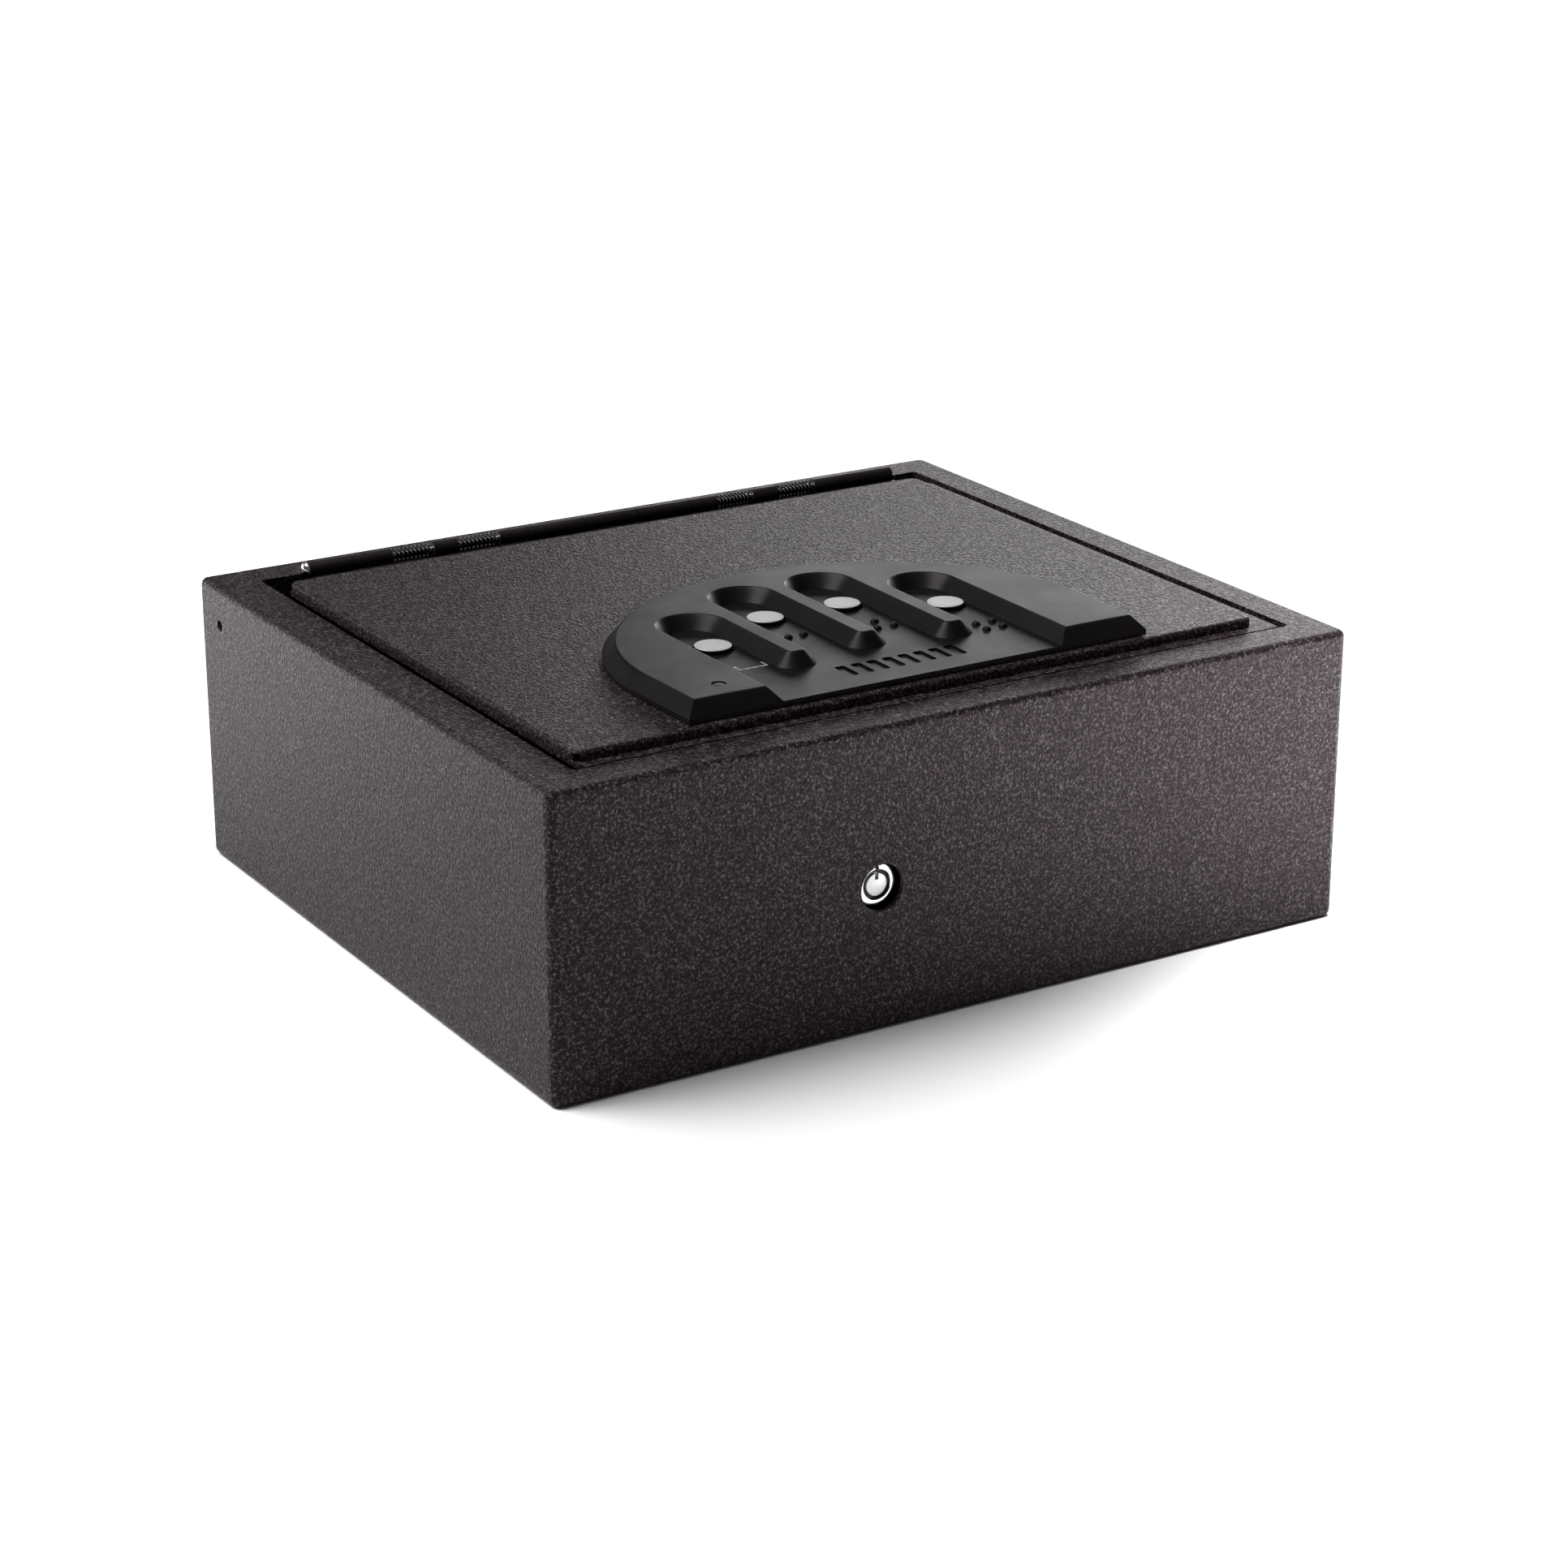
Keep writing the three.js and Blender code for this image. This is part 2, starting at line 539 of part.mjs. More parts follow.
const boltLow = BOLT.z - BOLT.thickness / 2;
const boltHigh = BOLT.z + BOLT.thickness / 2;
const boltFront = BOLT.y - BOLT.depth / 2;
const boltBack = BOLT.y + BOLT.depth / 2;

function latchBolt() {
  const slide = box(BOLT.left, BOLT.right, boltFront, boltBack, boltLow, boltHigh);
  const tongue = box(...BOLT.tongue, BOLT.tongueFront, boltFront + 1, boltLow, boltHigh);
  const tab = box(...BOLT.tab, CAM.front - 1.1, boltFront + 1, BOLT.tabLow, boltHigh);
  return join(slide, tongue, tab);
}

function plunger() {
  const shoulder = bar('x', BOLT.right + GAP, BOLT.right + 2, [BOLT.y, BOLT.z],
    PLUNGER.shoulder, 20);
  return join(shoulder,
    bar('x', BOLT.right + GAP, PLUNGER.right, [BOLT.y, BOLT.z], PLUNGER.radius, 20));
}

function latchBracket() {
  const { left, right, front, back, bottom, sheet } = BRACKET;
  const flange = box(left, right, front, back, UNDERSIDE - sheet, UNDERSIDE);
  const ears = [left, right - sheet].map((x) =>
    box(x, x + sheet, front, back, bottom, UNDERSIDE));
  const slot = box(left - 1, right + 1, boltFront - 0.5, boltBack + 0.5,
    boltLow - 0.5, boltHigh + 0.5);
  const holes = rivetPlaces.map((place) =>
    bar('z', UNDERSIDE - sheet - 1, UNDERSIDE + 1, place, 1.8, 12));
  return cut(join(flange, ...ears), slot, ...holes);
}

function solenoid() {
  const { left, right, size, bore } = SOLENOID;
  const frame = box(left, right, BOLT.y - size / 2, BOLT.y + size / 2,
    BOLT.z - size / 2, BOLT.z + size / 2);
  return cut(frame, bar('x', left - 1, right - 4, [BOLT.y, BOLT.z], bore, 20));
}

lid.add(
  piece('latch_bolt', latchBolt(), 'zinc'),
  piece('solenoid_plunger', plunger(), 'zinc'),
  piece('latch_bracket', latchBracket(), 'zinc'),
  piece('solenoid', solenoid(), 'darkSteel'),
  piece('latch_spring', coil(BOLT.right + 2 + LATCH_SPRING.wire + GAP,
    SOLENOID.left - LATCH_SPRING.wire - GAP, LATCH_SPRING), 'zinc', [0, BOLT.y, BOLT.z]),
);

// ---- Control box -------------------------------------------------------------------------

function controlBox() {
  const { left, right, front, back, bottom, wall } = BOX;
  const outside = box(left, right, front, back, bottom, UNDERSIDE);
  const inside = box(left + wall, right - wall, front + wall, back - wall,
    bottom + wall, UNDERSIDE + 1);
  const ears = screwPlaces.map(([x, y]) =>
    box(Math.min(x, right - 1) - (x < left ? 5 : 0), Math.max(x, left + 1) + (x > right ? 5 : 0),
      y - 5, y + 5, UNDERSIDE - 3, UNDERSIDE));
  const railLow = COVER.bottom - 1.7;
  const rails = [
    box(COVER.left - 2, COVER.right + 2, front, COVER.front - GAP, railLow, bottom + 0.1),
    box(COVER.left - 2, COVER.right + 2, front, COVER.front + 2.2, railLow, COVER.bottom - GAP),
    box(COVER.left - 2, COVER.right + 2, COVER.back + GAP, COVER.back + 2.3,
      railLow, bottom + 0.1),
    box(COVER.left - 2, COVER.right + 2, COVER.back - 2.2, COVER.back + 2.3,
      railLow, COVER.bottom - GAP),
  ];
  return cut(join(cut(outside, inside), ...ears, ...rails),
    box(BAY.left, BAY.right, BAY.front, BAY.back, bottom - 1, bottom + wall + 1),
    bar('x', left - 1, left + wall + 1, [BOLT.y, BOLT.z], 7.5, 20),
    ...screwPlaces.map((place) => bar('z', UNDERSIDE - 4, UNDERSIDE + 1, place, 1.8, 12)));
}

function controlBoard() {
  const board = box(50, 126, -119, -66, -8.5, -6.9);
  const parts = [[60, -80, 5], [74, -74, 3.5], [96, -76, 4], [116, -74, 3]].map(([x, y, half]) =>
    box(x - half, x + half, y - half, y + half, -11.5, -8.4));
  return join(board, ...parts);
}

function batteryBlock() {
  const { left, front, bottom, length, depth, height } = BATTERY;
  const block = box(left, left + length - 3, front, front + depth, bottom, bottom + height);
  const middle = bottom + height / 2;
  const studs = [front + 7, front + depth - 7].map((y) =>
    bar('x', left + length - 3.5, left + length, [y, middle], 3, 12));
  return join(block, ...studs);
}

function batteryCover() {
  const plate = box(COVER.left, COVER.right, COVER.front, COVER.back, COVER.bottom, COVER.top);
  const ribs = [106, 110, 114].map((x) =>
    box(x, x + 1.6, -112, -96, COVER.bottom - 0.7, COVER.bottom + 0.1));
  return join(plate, ...ribs);
}

lid.add(
  piece('control_box', controlBox(), 'moulding'),
  piece('control_board', controlBoard(), 'board'),
  piece('battery', batteryBlock(), 'battery'),
  piece('battery_cover', batteryCover(), 'moulding'),
);

// Screws hold the control box, and rivets hold the latch bracket, to the inner plate.
function fixing(headRadius, headHeight, under) {
  return join(
    bar('z', under - GAP - headHeight, under - GAP, [0, 0], headRadius, 12),
    bar('z', under - GAP - 0.2, INNER.top - 0.1, [0, 0], 1.45, 8));
}

screwPlaces.forEach(([x, y], i) => {
  lid.add(piece(`box_screw_${i + 1}`, fixing(3, 1.8, UNDERSIDE - 3), 'zinc', [x, y, 0]));
});
rivetPlaces.forEach(([x, y], i) => {
  lid.add(piece(`bracket_rivet_${i + 1}`, fixing(3, 1.2, UNDERSIDE - BRACKET.sheet), 'zinc',
    [x, y, 0]));
});

export default safe;
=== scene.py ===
"""Looks for the top-opening pistol safe: finer pieces, procedural materials, light and camera."""

import json
import math

import bmesh
import bpy
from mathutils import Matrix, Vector


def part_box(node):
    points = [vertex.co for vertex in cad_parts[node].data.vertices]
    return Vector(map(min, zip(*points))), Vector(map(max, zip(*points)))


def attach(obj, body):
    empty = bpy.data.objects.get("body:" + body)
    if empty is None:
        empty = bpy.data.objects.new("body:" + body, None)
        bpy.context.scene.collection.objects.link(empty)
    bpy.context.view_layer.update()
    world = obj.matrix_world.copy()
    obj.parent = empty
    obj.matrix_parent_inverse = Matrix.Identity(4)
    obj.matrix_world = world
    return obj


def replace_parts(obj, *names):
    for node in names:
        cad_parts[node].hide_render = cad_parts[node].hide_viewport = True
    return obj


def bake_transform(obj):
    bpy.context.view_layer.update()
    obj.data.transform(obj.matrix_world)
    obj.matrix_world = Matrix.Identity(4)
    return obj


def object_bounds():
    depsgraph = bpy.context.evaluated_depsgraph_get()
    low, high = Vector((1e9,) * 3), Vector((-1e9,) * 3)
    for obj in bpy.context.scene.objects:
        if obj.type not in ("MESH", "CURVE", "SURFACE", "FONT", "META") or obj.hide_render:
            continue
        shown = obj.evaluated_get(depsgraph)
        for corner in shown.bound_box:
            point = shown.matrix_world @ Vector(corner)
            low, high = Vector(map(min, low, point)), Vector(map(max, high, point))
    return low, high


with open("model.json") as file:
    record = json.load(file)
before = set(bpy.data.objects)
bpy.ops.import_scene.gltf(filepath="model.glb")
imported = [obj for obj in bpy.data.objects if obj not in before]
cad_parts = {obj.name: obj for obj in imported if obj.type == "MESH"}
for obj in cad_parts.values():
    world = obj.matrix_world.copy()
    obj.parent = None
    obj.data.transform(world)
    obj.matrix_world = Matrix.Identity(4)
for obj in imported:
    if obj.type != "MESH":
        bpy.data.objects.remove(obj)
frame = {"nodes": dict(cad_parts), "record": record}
NODES = frame["nodes"]
CAD_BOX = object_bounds()
BODY_OF = {n: b for b, names in frame["record"]["behaviour"]["bodies"].items() for n in names}
SLOT_OF = {s["node"]: s["material_slot"] for s in frame["record"]["subparts"]}
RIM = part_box("case_shell")[1].z * 1000  # the height of the case's rim, in mm
SCENE = bpy.context.scene


# ---- Materials ------------------------------------------------------------------------------


class Look:
    """A procedural material, with short calls for its nodes."""

    def __init__(self, name, roughness=0.5, metallic=0.0, **sockets):
        self.material = bpy.data.materials.new(name)
        self.material.use_nodes = True
        self.tree = self.material.node_tree
        self.shader = self.tree.nodes["Principled BSDF"]
        self.shader.inputs["Roughness"].default_value = roughness
        self.shader.inputs["Metallic"].default_value = metallic
        for socket, value in sockets.items():
            self.shader.inputs[socket.replace("_", " ")].default_value = value
        self.place = self.add("ShaderNodeTexCoord").outputs["Object"]

    def add(self, kind, **inputs):
        node = self.tree.nodes.new(kind)
        for name, value in inputs.items():
            self.set(node.inputs[name.replace("_", " ")], value)
        return node

    def set(self, socket, value):
        """Gives a socket a value, or links another node's output to it."""
        if isinstance(value, bpy.types.NodeSocket):
            self.tree.links.new(value, socket)
        else:
            socket.default_value = value

    def stretched(self, x, y, z):
        """The object's own coordinates, scaled along each axis."""
        mapping = self.add("ShaderNodeMapping", Vector=self.place)
        mapping.inputs["Scale"].default_value = (x, y, z)
        return mapping.outputs["Vector"]

    def noise(self, scale, detail=3.0, rough=0.55, place=None):
        node = self.add("ShaderNodeTexNoise", Vector=place or self.place, Scale=scale,
                        Detail=detail, Roughness=rough)
        return node.outputs["Fac"]

    def cells(self, scale, output="Distance"):
        return self.add("ShaderNodeTexVoronoi", Vector=self.place, Scale=scale).outputs[output]

    def ramp(self, factor, *stops):
        """Colours blended by the factor; each stop is (factor, colour)."""
        node = self.add("ShaderNodeValToRGB", Fac=factor)
        marks = node.color_ramp.elements
        while len(marks) < len(stops):
            marks.new(0.5)
        for mark, (at, colour) in zip(marks, stops):
            mark.position = at
            mark.color = (*colour, 1)
        return node.outputs["Color"]

    def scaled(self, value, low, high, to_low, to_high):
        """The value, moved from the range low..high to the range to_low..to_high."""
        node = self.add("ShaderNodeMapRange", Value=value)
        for name, number in zip(("From Min", "From Max", "To Min", "To Max"),
                                (low, high, to_low, to_high)):
            node.inputs[name].default_value = number
        return node.outputs["Result"]

    def mix(self, factor, a, b):
        node = self.add("ShaderNodeMix")
        node.data_type = "RGBA"
        for socket, value in zip((node.inputs[0], node.inputs[6], node.inputs[7]), (factor, a, b)):
            if isinstance(value, tuple) and len(value) == 3:
                value = (*value, 1)
            self.set(socket, value)
        return node.outputs[2]

    def colour(self, value):
        self.set(self.shader.inputs["Base Color"], value)

    def rough(self, value):
        self.set(self.shader.inputs["Roughness"], value)

    def bump(self, height, strength, distance):
        """Adds a layer of bump, distance metres high, over the layers before it."""
        before = self.shader.inputs["Normal"].links
        node = self.add("ShaderNodeBump", Height=height, Strength=strength)
        node.inputs["Distance"].default_value = distance
        if before:
            self.tree.links.new(before[0].from_socket, node.inputs["Normal"])
        self.tree.links.new(node.outputs["Normal"], self.shader.inputs["Normal"])


def powder_coat():
    """Dark, brownish powder paint with a fine grain of random dark and light specks; the light specks
    are painted glints off the textured coat.
    """
    look = Look("powder_coat", metallic=0.0, Specular_IOR_Level=0.14)
    look.shader.inputs["Specular Tint"].default_value = (1.0, 0.80, 0.86, 1)
    fine = look.noise(1650, 2.0, 0.6)
    coarse = look.noise(800, 2.0, 0.5)
    half_each = look.add("ShaderNodeMath", Value=fine)
    half_each.operation = "MULTIPLY_ADD"
    half_each.inputs[1].default_value = 0.5
    look.set(half_each.inputs[2], look.scaled(coarse, 0, 1, 0, 0.5))
    grain = half_each.outputs[0]
    # Random grain, whose brightest specks stand in for glints off the coat's texture: painted sparkle.
    look.colour(look.ramp(grain, (0.40, (0.0028, 0.0008, 0.0013)), (0.50, (0.0105, 0.0060, 0.0072)),
                          (0.57, (0.050, 0.041, 0.044)), (0.66, (0.120, 0.110, 0.113))))
    look.rough(look.scaled(grain, 0.38, 0.62, 0.50, 0.34))
    look.bump(look.noise(900, 2.0, 0.5), 0.9, 0.0005)
    look.bump(grain, 0.8, 0.0006)
    return look.material


def moulding():
    """The keypad's black plastic."""
    look = Look("moulding", Specular_IOR_Level=0.12)
    look.shader.inputs["Specular Tint"].default_value = (1.0, 0.92, 0.95, 1)
    soft = look.noise(22, 3.0)
    look.colour(look.ramp(soft, (0.3, (0.0030, 0.0024, 0.0026)), (0.7, (0.0048, 0.0040, 0.0043))))
    look.rough(look.scaled(look.noise(60, 4.0), 0.3, 0.7, 0.36, 0.43))
    look.bump(look.noise(2600, 2.0), 0.16, 0.00008)
    return look.material


def dark_steel():
    """Blackened sheet steel, faintly streaked along its length."""
    look = Look("dark_steel", metallic=0.0, Specular_IOR_Level=0.3)
    look.shader.inputs["Specular Tint"].default_value = (1.0, 0.86, 0.92, 1)
    streaks = look.noise(240, 3.0, place=look.stretched(0.12, 1, 1))
    look.colour(look.ramp(streaks, (0.3, (0.0050, 0.0032, 0.0040)), (0.75, (0.0110, 0.0080, 0.0092))))
    look.rough(look.scaled(streaks, 0.3, 0.7, 0.34, 0.48))
    look.bump(look.noise(900, 2.0), 0.12, 0.0001)
    return look.material


def zinc():
    """Zinc plate: small crystals under cloudy grey patches."""
    look = Look("zinc_plate", metallic=0.95)
    spangle = look.cells(260, "Color")
    clouds = look.noise(90, 4.0, 0.6)
    plated = look.mix(look.scaled(spangle, 0, 1, 0, 0.6), (0.30, 0.31, 0.325), (0.44, 0.445, 0.44))
    look.colour(look.mix(look.scaled(clouds, 0.42, 0.66, 0, 0.45), plated, (0.20, 0.20, 0.205)))
    look.rough(look.scaled(clouds, 0.3, 0.7, 0.24, 0.46))
    look.bump(look.noise(700, 3.0), 0.10, 0.0001)
    return look.material


def chrome():
    """Polished chrome, lightly smudged."""
    look = Look("polished_chrome", metallic=1.0)
    smudge = look.noise(420, 3.0)
    look.colour(look.ramp(smudge, (0.3, (0.78, 0.78, 0.79)), (0.7, (0.88, 0.88, 0.885))))
    look.rough(look.scaled(smudge, 0.3, 0.7, 0.07, 0.16))
    look.bump(look.noise(900, 2.0), 0.03, 0.00005)
    return look.material


def satin_metal():
    """The pale, dull face of the buttons."""
    look = Look("button_satin", metallic=0.35)
    grain = look.noise(1900, 3.0)
    look.colour(look.ramp(grain, (0.3, (0.37, 0.365, 0.37)), (0.7, (0.46, 0.45, 0.455))))
    look.rough(look.scaled(grain, 0.3, 0.7, 0.42, 0.55))
    look.bump(grain, 0.08, 0.00006)
    return look.material


def rubber():
    look = Look("black_rubber", Specular_IOR_Level=0.25)
    look.colour(look.ramp(look.noise(300), (0.3, (0.006, 0.006, 0.006)), (0.7, (0.011, 0.011, 0.011))))
    look.rough(look.scaled(look.noise(500), 0.3, 0.7, 0.65, 0.85))
    look.bump(look.noise(1500), 0.15, 0.0001)
    return look.material


def foam():
    """Charcoal open-cell foam, darker in its pores: painted shade."""
    look = Look("foam", Specular_IOR_Level=0.15, Sheen_Weight=0.25, Sheen_Roughness=0.6)
    pores = look.cells(1000)
    # Dark at the middle of each pore, where the bump sinks in: painted shade in the pores.
    pore_shade = look.ramp(pores, (0.05, (0.004, 0.004, 0.0045)), (0.55, (0.026, 0.026, 0.028)))
    look.colour(look.mix(look.scaled(look.noise(40), 0.35, 0.65, 0, 0.4), pore_shade,
                         (0.012, 0.012, 0.013)))
    look.rough(look.scaled(look.noise(700), 0.3, 0.7, 0.85, 1.0))
    look.bump(pores, 0.6, 0.0005)
    look.bump(look.noise(180, 4.0), 0.35, 0.0005)
    return look.material


def circuit_board():
    """Green solder resist over a pattern of tracks."""
    look = Look("circuit_board", Coat_Weight=0.3, Coat_Roughness=0.2)
    tracks = look.add("ShaderNodeTexBrick", Vector=look.place, Scale=130.0)
    tracks.inputs["Color1"].default_value = (0.006, 0.050, 0.018, 1)
    tracks.inputs["Color2"].default_value = (0.008, 0.062, 0.022, 1)
    tracks.inputs["Mortar"].default_value = (0.018, 0.110, 0.040, 1)
    look.colour(tracks.outputs["Color"])
    look.rough(look.scaled(look.noise(300), 0.3, 0.7, 0.3, 0.45))
    look.bump(tracks.outputs["Fac"], 0.2, 0.00008)
    return look.material


def battery_case():
    """A printed battery sleeve: dark over the first third of its length, copper-coloured beyond."""
    look = Look("battery_case", metallic=0.5)
    low, high = (c.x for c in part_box("battery"))
    along = look.add("ShaderNodeSeparateXYZ", Vector=look.place).outputs["X"]
    band = look.ramp(look.scaled(along, low, high, 0, 1), (0.0, (0.03, 0.03, 0.033)),
                     (0.30, (0.03, 0.03, 0.033)), (0.32, (0.30, 0.16, 0.05)),
                     (1.0, (0.34, 0.19, 0.06)))
    look.colour(look.mix(look.scaled(look.noise(90), 0.4, 0.6, 0, 0.15), band, (0.02, 0.02, 0.02)))
    look.rough(look.scaled(look.noise(400), 0.3, 0.7, 0.28, 0.42))
    look.bump(look.noise(500), 0.06, 0.0001)
    return look.material


def smoked_lens():
    """The unlit window over the status light."""
    look = Look("smoked_lens", Specular_IOR_Level=0.15)
    look.colour(look.ramp(look.cells(700), (0.0, (0.011, 0.006, 0.006)), (1.0, (0.020, 0.008, 0.008))))
    look.rough(look.scaled(look.noise(300), 0.3, 0.7, 0.34, 0.42))
    look.bump(look.cells(900), 0.05, 0.0001)
    return look.material


def white_print():
    """Worn white ink, for the mark in the first channel."""
    look = Look("white_print")
    look.colour(look.ramp(look.noise(900, 3.0), (0.40, (0.09, 0.09, 0.09)), (0.60, (0.34, 0.34, 0.34))))
    look.rough(look.scaled(look.noise(700), 0.3, 0.7, 0.5, 0.7))
    look.bump(look.noise(1200), 0.1, 0.00005)
    return look.material


def copper_wire():
    """The solenoid's winding, seen as fine parallel turns, darker in the grooves between them: painted
    shade.
    """
    look = Look("winding", metallic=0.7)
    turns = look.add("ShaderNodeTexWave", Vector=look.place, Scale=420.0, Distortion=0.6)
    # Dark where the wave sinks into the grooves between the turns: painted shade.
    look.colour(look.ramp(turns.outputs["Fac"], (0.1, (0.10, 0.028, 0.010)),
                          (0.8, (0.42, 0.15, 0.06))))
    look.rough(look.scaled(turns.outputs["Fac"], 0, 1, 0.45, 0.28))
    look.bump(turns.outputs["Fac"], 0.5, 0.0002)
    return look.material


def spring_steel():
    """Oiled black spring wire."""
    look = Look("spring_steel", metallic=0.9)
    look.colour(look.ramp(look.noise(500), (0.3, (0.009, 0.008, 0.009)), (0.7, (0.024, 0.022, 0.023))))
    look.rough(look.scaled(look.noise(800), 0.3, 0.7, 0.14, 0.24))
    look.bump(look.noise(1300), 0.06, 0.00005)
    return look.material


def satin_steel():
    """The brushed post of the key lock."""
    look = Look("satin_steel", metallic=0.85)
    grain = look.noise(1500, 4.0)
    look.colour(look.ramp(grain, (0.3, (0.58, 0.58, 0.585)), (0.7, (0.72, 0.72, 0.725))))
    look.rough(look.scaled(grain, 0.3, 0.7, 0.32, 0.46))
    look.bump(grain, 0.10, 0.00006)
    return look.material


# The look of each material slot of the frame.
LOOKS = {
    "powder_coat": powder_coat(),
    "moulding": moulding(),
    "dark_steel": dark_steel(),
    "zinc_steel": zinc(),
    "bright_chrome": chrome(),
    "button_metal": satin_metal(),
    "black_rubber": rubber(),
    "foam": foam(),
    "circuit_board": circuit_board(),
    "battery_case": battery_case(),
    "lens": smoked_lens(),
}
# Looks of finer pieces that share a slot with others.
PRINT = white_print()
COPPER = copper_wire()
SPRING = spring_steel()
SATIN_STEEL = satin_steel()


# ---- Mesh helpers ---------------------------------------------------------------------------


MM = 0.001


def mm(*values):
    """A vector given in millimetres, in Blender's metres."""
    return Vector(values) * MM


def make(name, bm, slot, body=None, stands_for=(), look=None, sharp=35):
    """A new object from a bmesh whose vertices are in metres, riding on a body."""
    bmesh.ops.recalc_face_normals(bm, faces=bm.faces)
    mesh = bpy.data.meshes.new(name)
    bm.to_mesh(mesh)
    bm.free()
    obj = bpy.data.objects.new(name, mesh)
    SCENE.collection.objects.link(obj)
    return dress(obj, slot, body, stands_for, look, sharp)


def dress(obj, slot, body=None, stands_for=(), look=None, sharp=35):
    """Gives an object its material, its smooth shading, its body and the nodes it replaces."""
    mesh = obj.data
    mesh.materials.clear()
    mesh.materials.append(look or LOOKS[slot])
    mesh.polygons.foreach_set("use_smooth", [True] * len(mesh.polygons))
    mesh.set_sharp_from_angle(angle=math.radians(sharp))
    if body:
        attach(obj, body)
    if stands_for:
        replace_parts(obj, *stands_for)
    return obj


def settle(obj):
    """Turns the object's modifiers into its mesh."""
    graph = bpy.context.evaluated_depsgraph_get()
    mesh = bpy.data.meshes.new_from_object(obj.evaluated_get(graph))
    obj.modifiers.clear()
    obj.data = mesh
    return obj


def clean(obj):
    """Merges corners that lie on each other and removes faces with no area."""
    closest = 2e-6  # metres
    bm = bmesh.new()
    bm.from_mesh(obj.data)
    bmesh.ops.remove_doubles(bm, verts=bm.verts, dist=closest)
    bmesh.ops.dissolve_degenerate(bm, edges=bm.edges, dist=closest)
    bm.to_mesh(obj.data)
    bm.free()


def smooth(obj, sharp, weight=50):
    """Smooth shading that keeps the flat faces flat and breaks at edges over an angle."""
    mesh = obj.data
    mesh.polygons.foreach_set("use_smooth", [True] * len(mesh.polygons))
    mesh.set_sharp_from_angle(angle=math.radians(sharp))
    normals = obj.modifiers.new("normals", "WEIGHTED_NORMAL")
    normals.weight = weight
    normals.keep_sharp = True
    return settle(obj)


def soften(obj, width, segments=3, angle=40):
    """Rounds the sharp edges by a width in mm."""
    bevel = obj.modifiers.new("edges", "BEVEL")
    bevel.width = width * MM
    bevel.segments = segments
    bevel.limit_method = "ANGLE"
    bevel.angle_limit = math.radians(angle)
    bevel.use_clamp_overlap = True
    settle(obj)
    clean(obj)
    return smooth(obj, sharp=50, weight=100)


def carve(obj, *cutters):
    """Cuts the other objects out of this one and removes them."""
    for cutter in cutters:
        cut = obj.modifiers.new("cut", "BOOLEAN")
        cut.operation = "DIFFERENCE"
        cut.solver = "EXACT"
        cut.object = cutter
    settle(obj)
    clean(obj)
    for cutter in cutters:
        bpy.data.objects.remove(cutter)
    return obj


def refine(node, width=0.3, segments=2, angle=40, cutters=()):
    """A finer copy of a CAD node: its flat faces joined, the cutters cut out, its edges rounded."""
    bm = bmesh.new()
    bm.from_mesh(NODES[node].data)
    bmesh.ops.remove_doubles(bm, verts=bm.verts, dist=1e-6)
    bmesh.ops.dissolve_limit(bm, angle_limit=math.radians(0.6), verts=bm.verts, edges=bm.edges)
    obj = make(node + "_fine", bm, SLOT_OF[node])
    if cutters:
        carve(obj, *cutters)
    soften(obj, width, segments, angle)
    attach(obj, BODY_OF[node])
    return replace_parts(obj, node)


def ring(bm, points):
    """A row of new vertices."""
    return [bm.verts.new(p) for p in points]


def bridge(bm, a, b):
    """Joins two closed rows of vertices with a band of faces."""
    count = len(a)
    for i in range(count):
        j = (i + 1) % count
        bm.faces.new((a[i], a[j], b[j], b[i]))


def turned(name, axis, centre, profile, slot, body, stands_for=(), segments=64, look=None):
    """A lathed piece. The profile is (radius, place along the axis) in mm; it closes on the axis
    at both ends, or closes on itself if its last point repeats its first."""
    bm = bmesh.new()
    closed = profile[0] == profile[-1]
    rings = []
    for radius, at in profile[:-1] if closed else profile:
        points = []
        for i in range(segments if radius > 1e-6 else 1):
            a = 2 * math.pi * i / segments
            u, v = radius * math.cos(a), radius * math.sin(a)
            offset = {"x": (at, u, v), "y": (u, at, v), "z": (u, v, at)}[axis]
            points.append(mm(*(c + o for c, o in zip(centre, offset))))
        rings.append(ring(bm, points))
    pairs = list(zip(rings, rings[1:] + rings[:1])) if closed else list(zip(rings, rings[1:]))
    for a, b in pairs:
        if len(a) == 1 or len(b) == 1:
            tip, loop = (a[0], b) if len(a) == 1 else (b[0], a)
            for i in range(len(loop)):
                bm.faces.new((loop[i], loop[(i + 1) % len(loop)], tip))
        else:
            bridge(bm, a, b)
    return make(name, bm, slot, body, stands_for, look, sharp=30)


def plate(name, outline, low, high, slot):
    """A flat outline, in mm, raised from low to high."""
    bm = bmesh.new()
    bottom = ring(bm, [mm(x, y, low) for x, y in outline])
    top = ring(bm, [mm(x, y, high) for x, y in outline])
    bridge(bm, bottom, top)
    bm.faces.new(list(reversed(bottom)))
    bm.faces.new(top)
    return make(name, bm, slot)


def rectangle(x0, x1, y0, y1, radius=0.0):
    """The outline of a rectangle, with round corners if it has a radius."""
    if radius <= 0:
        return [(x0, y0), (x1, y0), (x1, y1), (x0, y1)]
    points, steps = [], 6
    for cx, cy, start in ((x1 - radius, y0 + radius, -90), (x1 - radius, y1 - radius, 0),
                          (x0 + radius, y1 - radius, 90), (x0 + radius, y0 + radius, 180)):
        for i in range(steps + 1):
            a = math.radians(start + 90 * i / steps)
            points.append((cx + radius * math.cos(a), cy + radius * math.sin(a)))
    return points


def circle(x, y, radius, steps):
    """The outline of a circle."""
    return [(x + radius * math.cos(2 * math.pi * i / steps),
             y + radius * math.sin(2 * math.pi * i / steps)) for i in range(steps)]


